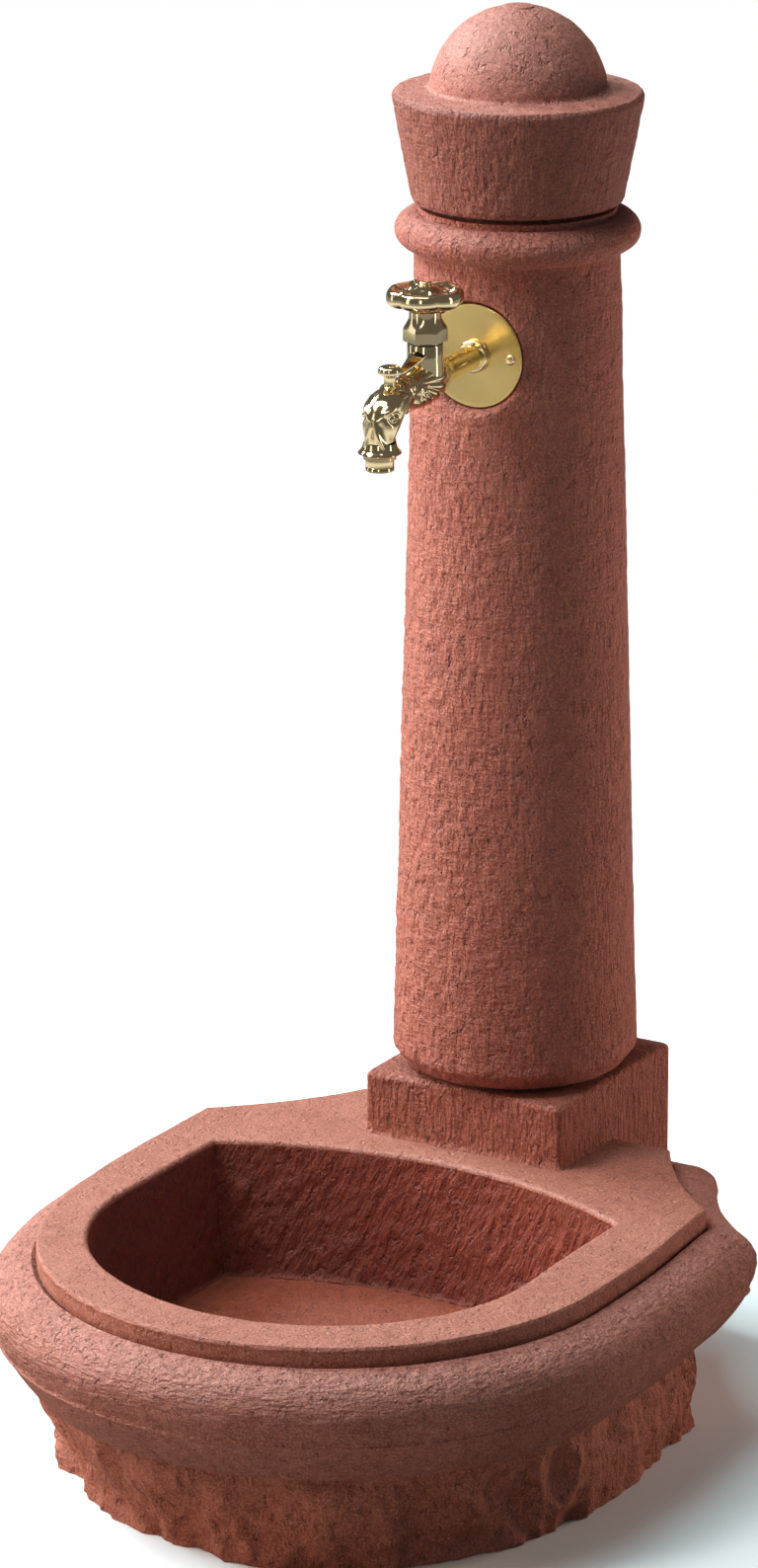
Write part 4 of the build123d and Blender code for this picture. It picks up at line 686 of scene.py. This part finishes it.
def make_bowl():
    """Bowl: its tooled wall, and the floor with the hole for the drain."""
    rings = []
    wall = 0.0
    for height in [BOWL_MOUTH] + steps_between(BOWL_MOUTH, 77, 2.4):
        wall = (BOWL_MOUTH - height) * BOWL_DRAFT
        rings.append((bowl_outline(wall), height))
    for out, height in quarter(-wall - 4, 76, 4, 4, 0, -90, 3)[1:]:
        rings.append((bowl_outline(-out), height))
    foot = bowl_outline(wall + 4)

    def amount(point, normal):
        slanted = Vector((point.x - point.z * 0.42, point.y, point.z + point.x * 0.42))
        near_mouth = clamped((BOWL_MOUTH - point.z) / 8)
        back = clamped((point.y - ROUND_CENTRE) / 120) * near_mouth
        strokes = 1 - 2.4 * abs(ripple(slanted, 11, 18, 46, 2))
        rough = 1.0 * ripple(point, 26, 26, 26, 4) * near_mouth
        return rough + back * (0.9 * strokes + 0.8 * ripple(point, 7, 7, 9, 8) - 0.3)

    shape = ringed(rings)
    weather(shape, amount)
    finished("bowl_wall", shape, stone_bowl_painted_shade)
    drain = drain_outline(37, foot)
    rings = [(between(foot, drain, step / 35), BOWL_FLOOR) for step in range(36)]
    for radius, height in ((37, 66.5), (DRAIN_BORE, 66.5), (DRAIN_BORE, 40)):
        rings.append((drain_outline(radius, foot), height))
    shape = ringed(rings)
    for vert in shape.verts:
        if hypot(vert.co.x, vert.co.y - ROUND_CENTRE) >= 38:
            vert.co.z += 0.6 * ripple(vert.co, 30, 30, 30, 4) + 0.3 * ripple(vert.co, 9, 9, 9, 2)
    finished("bowl_floor", shape, bowl_floor_colour_and_painted_shade)


def under_roll(height):
    """Point (out, height) of the roll's lower half, from its widest line to the band's foot."""
    share = 1 - ((ROLL_WIDEST - height) / (ROLL_WIDEST - BAND_FOOT)) ** 1.7
    return BAND_OUT + (ROLL_OUT - BAND_OUT) * share, height


def make_roll():
    """Roll moulding with the mould seam and the smooth band under it."""
    rings = [(basin_outline(-5), 165), (basin_outline(0.5), 169)]
    profile = [(3, 172)] + quarter(3, ROLL_WIDEST, ROLL_OUT - 3, 29, 84, 0, 26)
    profile += [under_roll(height) for height in (141, 138, 135, 132, 129, 126, 123, 121)]
    profile += [(33.2, 119.4), (33.9, 118.6), (33.7, 117.6), (31.6, 117)]
    profile += [under_roll(height) for height in range(115, 83, -3)]
    profile += [(BAND_OUT, BAND_FOOT), (2, 81), (-6, 81), (-20, 84)]
    rings += [(basin_outline(out), height) for out, height in profile]

    def amount(point, normal):
        if point.z < 119.5:
            return 0.25 * ripple(point, 20, 20, 12, 1) - 0.25
        streaks = 1.0 * ripple(point, 24, 24, 6, 6) + 0.8 * ripple(point, 9, 9, 4, 2)
        middle = max(0.15, 1 - abs(point.z - 138) / 26)
        return middle * streaks + 0.5 * ripple(point, 40, 40, 30) - 0.9

    shape = ringed(rings)
    weather(shape, amount)
    finished("roll_moulding", shape, stone_roll_painted_sheen)


# Degrees round from the front, and how far the rock face draws in at the ground there
ROCK_FOOT = ((-180, 8), (-120, 9), (-80, 12), (-56, 22), (-43, 34), (-18, 29), (0, 21))
ROCK_FOOT += ((17, 16), (33, 10), (53, 11), (71, 7), (85, 2), (130, 3), (180, 8))


def rock_foot(angle):
    for (first, inset), (last, following) in zip(ROCK_FOOT, ROCK_FOOT[1:]):
        if angle <= last:
            return inset + (following - inset) * smooth_step(angle, first, last)
    return ROCK_FOOT[-1][1]


def make_base():
    """Rock-faced base with the pocket for the drain nut in its underside."""
    plans = []
    for plan in (basin_outline(-1), basin_outline(-2)):
        undrawn = []
        for point in plan:
            share = smooth_step(-point.x, -60, 120) * smooth_step(-point.y, 220, 400)
            undrawn.append(point - Vector((10 * share, 0)))
        plans.append(undrawn)
    top = plans[0]
    inwards = [b - a for a, b in zip(*plans)]
    centre = Vector((0, ROUND_CENTRE))
    rings = []
    for height in [84] + steps_between(BAND_FOOT, 0, 2.4):
        outline = []
        for point, inward in zip(top, inwards):
            angle = degrees(atan2(point.x, centre.y - point.y))
            place = Vector((point.x, point.y, height))
            slanted = Vector((point.x + height * 0.25, point.y - height * 0.2, height))
            inset = 8 + (rock_foot(angle) - 8) * smooth_step(BAND_FOOT - height, 0, 70)
            inset += 7 * ripple(place, 52, 52, 60, 1)
            inset += 14 * abs(ripple(slanted, 44, 44, 62, 4)) - 3.2
            inset += 5 * abs(ripple(slanted, 21, 21, 30, 6)) - 1.2
            inset += 1.3 * ripple(place, 8, 8, 8, 4)
            near_top = min(1, (84 - height) / 12)
            least = 7 - 5.5 * smooth_step(angle, 35, 85) * (1 - smooth_step(angle, 150, 170))
            inset = least + (inset - least) * near_top
            outline.append(point + inward * max(min(least, 4.2), inset))
        rings.append((outline, height))
    last = rings[-1][0]
    pocket = drain_outline(50, last)
    rings += [(between(last, pocket, share), 0) for share in (0.1, 0.5, 1)]
    rings += [(pocket, 40), (drain_outline(DRAIN_BORE, last), 40)]
    finished("rock_base", ringed(rings), stone_rock, crease=60)


PLINTH_HALF_WIDTH = 92
PLINTH_FRONT = -87
PLINTH_BACK = 100
PLINTH_TOP = 239


def block_outline(grow):
    """Plan of the plinth block with its rounded corners."""
    half = PLINTH_HALF_WIDTH + grow
    front = PLINTH_FRONT - grow
    back = PLINTH_BACK + grow
    radius = 4.5
    corners = ((half - radius, front + radius, -90), (half - radius, back - radius, 0))
    corners += ((radius - half, back - radius, 90), (radius - half, front + radius, 180))
    outline = []
    for index, (x, y, first) in enumerate(corners):
        arc = [radians(first + 90 * step / 4) for step in range(5)]
        outline += [Vector((x + radius * cos(angle), y + radius * sin(angle))) for angle in arc]
        following = corners[(index + 1) % 4]
        angle = radians(following[2])
        target = Vector((following[0] + radius * cos(angle), following[1] + radius * sin(angle)))
        start = outline[-1]
        outline += [start.lerp(target, step / 60) for step in range(1, 60)]
    return outline


def make_plinth():
    """Plinth block, with a small cove where it rises from the slab."""
    sides = block_outline(-0.5)
    rings = [(sides, height) for height in [0] + steps_between(0, 184, 6)]
    for height in (SLAB_TOP, 187, 188.2, 190, 192):
        spread = block_outline(4 * max(0, 1 - (height - 184) / 7) ** 2 - 0.5)
        rings.append(([a if a.y < 4 else b for a, b in zip(spread, sides)], height))
    rings += [(sides, height) for height in steps_between(192, 233.5, 2)]
    edge = quarter(-5.5, PLINTH_TOP - 5, 5, 5, 0, 90, 5)
    rings += [(block_outline(out), height) for out, height in edge]
    top = rings[-1][0]
    middle = [Vector((0, 0))] * len(top)
    rings += [(between(top, middle, share), PLINTH_TOP) for share in (0.15, 0.35, 0.6, 0.9)]

    def amount(point, normal):
        if point.z < 160 or point.y > 94:
            return -0.2
        upright = 0.75 * ripple(point, 5, 5, 19, 2) + 0.45 * ripple(point, 3, 3, 8, 7)
        return (upright if abs(normal.z) < 0.5 else 0.3 * ripple(point, 8, 8, 8)) - 0.2

    shape = ringed(rings, close_last=True)
    weather(shape, amount)
    finished("plinth_block", shape, stone_block_painted_shade)


def turned(profile, steps, spacing=None):
    """Body of revolution about the column axis from (radius, height) points."""
    shape = bmesh.new()
    points = [profile[0]]
    for radius, height in profile[1:]:
        last = points[-1]
        length = hypot(radius - last[0], height - last[1])
        parts = max(1, ceil(length / spacing)) if spacing else 1
        for part in range(1, parts + 1):
            share = part / parts
            out = last[0] + (radius - last[0]) * share
            points.append((out, last[1] + (height - last[1]) * share))
    previous = None
    for radius, height in points:
        vert = shape.verts.new((0, -radius, height))
        if previous:
            shape.edges.new((previous, vert))
        previous = vert
    bmesh.ops.spin(
        shape,
        geom=shape.verts[:] + shape.edges[:],
        cent=(0, 0, 0),
        axis=(0, 0, 1),
        angle=2 * pi,
        steps=steps,
        use_merge=True,
        use_duplicate=False,
    )
    bmesh.ops.remove_doubles(shape, verts=shape.verts, dist=0.001)
    return shape


PAD_OUT = 75
SHAFT_FOOT = (100, 258.5)  # radius, height
SHAFT_TOP = (81.5, 917.5)
DOME_RADIUS = 71
DOME_CENTRE = 1041


def tap_point(out, side, rise):
    """Point out along the tap, to its side and over the inlet axis."""
    return TAP_OUT * out + TAP_SIDE * side + Vector((0, 0, TAP_HEIGHT + rise))


def pad_distance(point):
    """Distance from the axis of the tap's pad, on its own side of the column."""
    if point.dot(TAP_OUT) < 0:
        return 999
    return hypot(point.dot(TAP_SIDE), point.z - TAP_HEIGHT)


def shaft_relief(point):
    """Worn and pebbled relief of the shaft, calm beside the tap's pad."""
    calm = clamped((pad_distance(point) - 46) / 8)
    worn = 0.8 * ripple(point, 34, 34, 60, 1) + 0.5 * ripple(point, 13, 13, 17, 5)
    pebbled = 1.2 * ripple(point, 6, 6, 8, 2) + 0.5 * ripple(point, 5, 5, 18, 9)
    left = clamped(0.65 - point.dot(TAP_SIDE) / 110, low=0.3)
    return calm * (worn * 0.7 + pebbled * left) - 0.3


def make_column():
    """Column: rounded foot, tapered shaft and rounded collar."""
    profile = [(30, 244), (88, 244), (91, 244.8), (92.5, 246.5), (99.4, 256), SHAFT_FOOT]
    profile += [SHAFT_TOP, (82.2, 919)]
    profile += quarter(81.12, 933.5, 16.58, 14.5, -82, 82, 22)
    profile += [(79, 948.2), (79, 953), (8, 953)]
    shape = turned(profile, 300, 2.4)

    def amount(point, normal):
        radius = hypot(point.x, point.y)
        if radius < 77 or abs(normal.z) > 0.95:
            return 0
        if point.z > 915:
            return 0.35 * ripple(point, 12, 12, 9, 3) - 0.3
        return shaft_relief(point)

    weather(shape, amount)
    for vert in shape.verts:
        if pad_distance(vert.co) < 51:
            vert.co += TAP_OUT * min(0, 68 - vert.co.dot(TAP_OUT))
    finished("column_shaft", shape, stone_tooled, "column")


def make_pad():
    """Flat pad sunk into the shaft behind the rosette, with its rounded mouth."""
    rings = []
    radii = (8, 20, 32, 41.2, 41.3, 42.6, 42.7, 42.9, 43.2, 43.7, 44.4, 45.2, 46.2, 47.3)
    radii += (48.5, 50, 51.5, 53, 54.6, 56)
    foot_radius, foot_height = SHAFT_FOOT
    taper = (foot_radius - SHAFT_TOP[0]) / (SHAFT_TOP[1] - foot_height)
    for radius in radii:
        share = clamped((radius - 42.7) / 6)
        groove = 1.6 if 41.25 < radius < 42.65 else 0.1
        ring = []
        for step in range(180):
            angle = 2 * pi * step / 180
            side = radius * cos(angle)
            rise = radius * sin(angle)
            round_at = foot_radius - taper * (TAP_HEIGHT + rise - foot_height)
            surface = sqrt(round_at**2 - side**2)
            out = PAD_OUT - groove + (surface - PAD_OUT + 0.1) * sin(share * pi / 2) ** 0.8
            point = tap_point(out, side, rise)
            sink = 1.5 if radius > 55 else 0
            outwards = Vector((point.x, point.y, 0)).normalized()
            ring.append(point + outwards * (share * (shaft_relief(point) + 0.12) - sink))
        rings.append(ring)
    finished("sunk_pad", ringed(rings), stone_tooled, crease=80)


def make_cap():
    """Cap: tooled cone with a rounded rim, and the smooth dome on it."""
    dome_edge = sqrt(DOME_RADIUS**2 - 6**2)
    cone = [(6.3, 957), (80, 957), (83, 957.8), (85, 960), (99.6, 1037)]
    cone += quarter(94.6, 1039.4, 5.4, 5.6, 0, 60, 4)
    dome = quarter(94.6, 1039.4, 5.4, 5.6, 60, 88, 2)
    dome += [(dome_edge + 3, 1046.6), (dome_edge + 1, 1047)]
    dome += quarter(0, DOME_CENTRE, DOME_RADIUS, DOME_RADIUS, 5.8, 90, 40)

    def amount(point, normal):
        if point.z < 958 or hypot(point.x, point.y) < 12:
            return 0
        grain = 0.5 * ripple(point, 16, 16, 16, 2) + 0.3 * ripple(point, 5, 5, 5, 4)
        tooled = 1 - smooth_step(point.z, 1032, 1043)
        grain += tooled * (0.5 * ripple(point, 5, 5, 14, 6) + 0.3 * ripple(point, 14, 14, 5, 3))
        return grain - 0.8

    for name, profile, material, nodes in (
        ("cap_cone", cone, stone_cone_painted_shade, ("cap",)),
        ("cap_dome", dome, stone_dome, ()),
    ):
        shape = turned(profile, 280, 2.4)
        weather(shape, amount)
        finished(name, shape, material, *nodes)


def placed(shape, out, height):
    """Stands a shape that is turned about the Z axis over a place on the tap."""
    bmesh.ops.translate(shape, vec=TAP_OUT * out + Vector((0, 0, height)), verts=shape.verts)
    return shape


def pointed(shape):
    """Lays a shape turned about the Z axis along the inlet pipe, its heights outwards."""
    turn = TAP_OUT.to_track_quat("Z", "Y").to_matrix().to_4x4()
    lay = Matrix.Translation(Vector((0, 0, TAP_HEIGHT)))
    bmesh.ops.transform(shape, matrix=lay @ turn, verts=shape.verts)
    return shape


def crest(distance, width):
    return exp(-((distance / width) ** 2))


# Stations of the tap's body: out, rise over the inlet axis, dip, half width, half height
BODY_STATIONS = (
    (122, 0, 0, 10, 10),
    (131, 0, 0, 10, 10),
    (138, -0.4, 0, 10.8, 11.6),
    (146, -1, 0, 13.5, 16.5),
    (VALVE_OUT, -1, 0, 14.5, 19),
    (177, -4, 0, 12.5, 16),
    (195, -4, 5, 12, 14.5),
    (212, -4.5, 18, 13.5, 14.5),
    (227, -9.5, 45, 14.3, 15),
    (234, -18, 68, 14.2, 14.6),
    (236.8, -27.5, 84, 13, 13.4),
    (MUZZLE_OUT, -35, 90, 12.4, 12.6),
    (MUZZLE_OUT, -41.5, 90, 13.2, 13.2),
)


def station_between(before, first, second, after, share):
    """Smooth course between two stations, through both."""
    values = []
    for a, b, c, d in zip(before, first, second, after):
        cubic = 2 * b + (c - a) * share + (2 * a - 5 * b + 4 * c - d) * share**2
        values.append(0.5 * (cubic + (3 * b - a - 3 * c + d) * share**3))
    return values


def segment_distance(x, y, start, end):
    along = Vector((end[0] - start[0], end[1] - start[1]))
    reach = Vector((x - start[0], y - start[1]))
    share = clamped(reach.dot(along) / along.length_squared)
    return (reach - along * share).length


# Curls on the mane: out, rise over the inlet axis, radius
CURLS = ((200.5, 3.5, 5.6), (184, -3.5, 4.6), (195.5, -10, 4.8), (204, -18, 5.0))
CURLS += ((212.5, -25, 3.8),)


def carving(point, normal):
    """Relief on the body: shell of ribs, curls, mane, brow, eye and planes of the snout."""
    out = point.dot(TAP_OUT)
    side = abs(point.dot(TAP_SIDE))
    rise = point.z - TAP_HEIGHT
    flank = smooth_step(side, 2.5, 8)
    amount = 0.0
    reach = hypot(out - 193, rise - 3)
    turn = degrees(atan2(rise - 3, 193 - out))
    spread = smooth_step(turn, -70, -58) * (1 - smooth_step(turn, 22, 32))
    spread *= smooth_step(reach, 9, 16) * (1 - smooth_step(reach, 40, 46))
    spread *= min(1, reach / 28)
    amount += flank * spread * (1.7 * abs(cos(radians(turn) * 14)) ** 0.8 - 1.0)
    for curl_out, curl_rise, size in CURLS:
        gap = hypot(out - curl_out, rise - curl_rise)
        if gap < 2 * size:
            amount += flank * (2.0 * crest(gap, size * 0.85) - 1.0 * crest(gap - size * 0.6, 1.0))
            amount -= flank * 0.8 * crest(gap - size * 1.2, 1.2)
    reach = hypot(out - 206, rise - 1)
    turn = degrees(atan2(rise - 1, out - 206))
    spread = smooth_step(turn, -52, -42) * (1 - smooth_step(turn, 42, 54))
    spread *= smooth_step(reach, 7, 11) * (1 - smooth_step(reach, 22, 28))
    amount += flank * spread * (1.3 * abs(cos(radians(turn) * 7)) ** 0.8 - 0.7)
    amount += flank * 1.9 * crest(segment_distance(out, rise, (225, -2), (243, -9)), 2.3)
    socket = hypot((out - 236) / 1.5, rise + 13)
    amount += flank * (1.9 * crest(socket, 1.7) - 1.3 * crest(socket - 3.4, 1.4))
    amount += flank * 0.9 * crest(segment_distance(out, rise, (222, -19), (231, -34)), 3.4)
    if out > 226:
        face = smooth_step(-rise, 12, 19) * (1 - smooth_step(-rise, 38, 42))
        ridge = 1.2 + max(0, -17 - rise) * 0.36
        amount += face * (1.5 * crest(side - ridge, 1.8) - 1.6 * crest(side - ridge - 5, 3))
        amount -= face * 1.3 * crest(side, max(0.8, ridge - 1))
    return amount


def make_tap_body():
    """Tap's casting: carved body, inlet pipe, neck under the bonnet, knob, lip and ridge."""
    count = 180
    rings = []
    last = len(BODY_STATIONS) - 1
    for index in range(last):
        around = [BODY_STATIONS[clamped(index + step, high=last)] for step in (-1, 0, 1, 2)]
        length = hypot(around[2][0] - around[1][0], around[2][1] - around[1][1])
        parts = max(2, round(length / 0.7))
        for part in range(parts + (index == last - 1)):
            out, rise, dip, half_width, half_height = station_between(*around, part / parts)
            dip = radians(dip)
            ring = []
            for step in range(count):
                angle = 2 * pi * step / count
                across = half_width * sin(angle)
                up = half_height * cos(angle)
                ring.append(tap_point(out + up * sin(dip), across, rise + up * cos(dip)))
            rings.append(ring)
    shape = ringed(rings, close_last=True)
    weather(shape, carving)
    # The neck's bore stays open, for the valve that rises in it
    under_neck = []
    for face in shape.faces:
        middle = face.calc_center_median()
        from_valve = hypot(middle.dot(TAP_OUT) - VALVE_OUT, middle.dot(TAP_SIDE))
        if from_valve < 10 and middle.z > TAP_HEIGHT + 3:
            under_neck.append(face)
    bmesh.ops.delete(shape, geom=under_neck, context="FACES")
    finished("tap_casting", shape, brass, "tap_body", crease=60)
    pipe = turned([(10, 70), (10, 128)], 64)
    finished("inlet_pipe", pointed(pipe), brass)
    neck = [(9.2, 28.5), (9.2, 2), (14.6, 2), (14.5, 10), (14, 17), (14, 27.4), (13.4, 28.5)]
    neck.append(neck[0])
    finished("valve_neck", placed(turned(neck, 96), VALVE_OUT, TAP_HEIGHT), brass)
    knob = [(5.4, 4), (4.6, 8), (4.4, 13.5), (5.4, 15.8), (7.6, 16.6), (8.9, 17.4), (9.2, 18.8)]
    knob += [(9, 20.4), (8.2, 21.9), (6.6, 22.9), (4.5, 23.4), (2, 23.5), (0.01, 23.5)]
    finished("head_knob", placed(turned(knob, 72), 220, TAP_HEIGHT), brass)
    lip = [(0.01, 4), (9, 3.6), (9, 0.2), (12.6, 0), (13.6, 0.3), (16.3, 1.5), (16.8, 2)]
    lip += [(16.5, 2.8), (15, 4.2), (13.6, 6.6), (12.6, 10)]
    finished("muzzle_lip", placed(turned(lip, 112), MUZZLE_OUT, 803.5), brass)
    tongue = []
    for step in range(25):
        share = step / 24
        out = 163 + 42 * share
        rise = 23 - 10.5 * share - 4.5 * share * (1 - share)
        half_width = 7.6 * (1 - share) ** 0.7 + 0.8
        half_height = 6.5 - 3.6 * share
        ring = []
        for turn in range(40):
            angle = 2 * pi * turn / 40
            across = half_width * sin(angle)
            up = half_height * (1 - 0.62 * abs(sin(angle)))
            if cos(angle) < 0:
                up = half_height * 0.38 * (1 + 2 * cos(angle))
            ring.append(tap_point(out, across, rise + up))
        tongue.append(ring)
    finished("spout_ridge", ringed(tongue, close_first=True, close_last=True), brass)


BONNET_RADIUS = 15  # to the middle of a flat
WHEEL_FOOT = 903.2
WHEEL_TURN = radians(15)
ROSETTE_FRONT = 76.5


def valve_point(angle, radius, height):
    """Point about the axis of the valve."""
    out = TAP_OUT * VALVE_OUT - TAP_OUT * radius * sin(angle)
    return out + TAP_SIDE * radius * cos(angle) + Vector((0, 0, height))


def make_bonnet():
    """Bonnet: a hexagon that runs up into a round neck."""
    # Height, share of the hexagon, radius
    levels = ((876.5, 0.9, 14.4), (876.9, 1, 15), (877.4, 1, 15), (884.6, 1, 15))
    levels += ((886.4, 0.98, 14.9), (888.4, 0.8, 14.5), (890.4, 0.52, 13.9), (892.4, 0.28, 13.3))
    levels += ((894.2, 0.1, 12.8), (896, 0, 12.6), (900.4, 0, 12.5), (901, 0, 12))
    levels += ((901, 0, 9.1), (894, 0, 9))
    angles = [2 * pi * step / 96 for step in range(96)]
    rings = []
    for height, share, radius in levels:
        ring = []
        for angle in angles:
            hexagon = BONNET_RADIUS / cos((angle + pi / 6) % (pi / 3) - pi / 6)
            reach = radius + share * (hexagon - BONNET_RADIUS)
            ring.append(valve_point(angle, reach, height))
        rings.append(ring)
    finished("hexagon_bonnet", ringed(rings), brass, "bonnet", crease=20)


def make_wheel():
    """Six-lobed handwheel with dished panels between its radial ridges."""
    section = [(3.2, 0.4), (7.2, 0), (8, 0.8), (8, 4.6), (10, 5.6), (15, 6), (19.5, 5.2)]
    section += [(22, 3.8)] + quarter(25.3, 9, 5.3, 6.6, -105, 110, 26)
    section += [(21.8, 14.2), (19.5, 13.2), (17, 12.9), (14.5, 13.3), (12, 14.3), (10, 15.4)]
    section += [(8.4, 16.4), (7.4, 17.1), (6.6, 17.4), (4.8, 17.4)]
    rings = []
    for radius, height in section:
        ring = []
        for step in range(180):
            angle = 2 * pi * step / 180
            lobe = abs(cos(3 * (angle + WHEEL_TURN)))
            notch = crest(lobe, 0.22)
            outer = smooth_step(radius, 18, 28)
            reach = radius * (1 - 0.05 * outer * (1 - lobe**0.6))
            over = smooth_step(height, 8, 12)
            panel = smooth_step(radius, 9.5, 13) * (1 - smooth_step(radius, 24, 29)) * over
            rise = height - 2.4 * panel * (lobe**0.8 - 0.3)
            rise += 0.7 * notch * over * smooth_step(radius, 9, 15)
            rise -= 0.9 * outer * lobe * (1 - over)
            ring.append(valve_point(angle, reach, WHEEL_FOOT + rise))
        rings.append(ring)
    finished("lobed_handwheel", ringed(rings), brass, "handwheel", body="wheel", crease=50)


def slotted_head(radius, height):
    """Domed screw head with a slot across it, on the level Z = 0."""
    profile = [(0.01, 0), (radius, 0), (radius, height * 0.35)]
    for angle in map(radians, range(10, 91, 8)):
        profile.append((radius * cos(angle), height * (0.35 + 0.65 * sin(angle))))
    shape = turned(profile, 64, 0.28)
    for vert in shape.verts:
        if abs(vert.co.x) < radius * 0.17 and vert.co.z > height * 0.3:
            vert.co.z -= height * 0.35
    return shape


def make_rosette():
    """Rosette on the pad, with the ring round the pipe and two screws."""
    plate = [(10.4, PAD_OUT), (41.2, PAD_OUT), (41.5, 75.3), (41.5, 76), (41.2, 76.4)]
    plate += [(40.7, ROSETTE_FRONT), (10.4, ROSETTE_FRONT)]
    shape = pointed(turned(plate, 160, 4))
    finished("round_rosette", shape, turned_brass, "rosette", crease=30)
    ring = [(10.1, 76.4), (12.6, ROSETTE_FRONT)] + quarter(11.6, 79, 1.6, 2.4, -70, 90, 12)
    ring.append((10.1, 81.4))
    finished("inlet_ring", pointed(turned(ring, 80)), brass, "pipe_collar")
    both = bmesh.new()
    for side, spin_by in ((-32, 0.5), (32, 1.2)):
        head = slotted_head(4.2, 2.6)
        spin = Matrix.Rotation(spin_by, 3, "Z")
        bmesh.ops.rotate(head, cent=(0, 0, 0), matrix=spin, verts=head.verts)
        bmesh.ops.translate(head, vec=(0, 0, ROSETTE_FRONT), verts=head.verts)
        pointed(head)
        bmesh.ops.translate(head, vec=TAP_SIDE * side, verts=head.verts)
        mesh = bpy.data.meshes.new("one_head")
        head.to_mesh(mesh)
        head.free()
        both.from_mesh(mesh)
        bpy.data.meshes.remove(mesh)
    finished("slotted_screws", both, brass, "rosette_screws", crease=30)


def make_nozzle():
    """Nozzle under the muzzle, with its bore."""
    bore = [(0.01, 19), (8, 19), (8, 0.5), (8.4, 0), (10.5, 0), (11, 0.5), (11, 3)]
    bore += [(10.7, 3.4), (11, 3.8), (11, 9), (12.2, 9), (12.6, 9.4), (12.6, 11.6), (12.2, 12)]
    shape = placed(turned(bore, 96), MUZZLE_OUT, 791.5)
    finished("nozzle_ring", shape, brass, "outlet_nozzle")


make_slab()
make_bowl()
make_roll()
make_base()
make_plinth()
make_column()
make_pad()
make_cap()
make_tap_body()
make_bonnet()
make_wheel()
make_rosette()
make_nozzle()
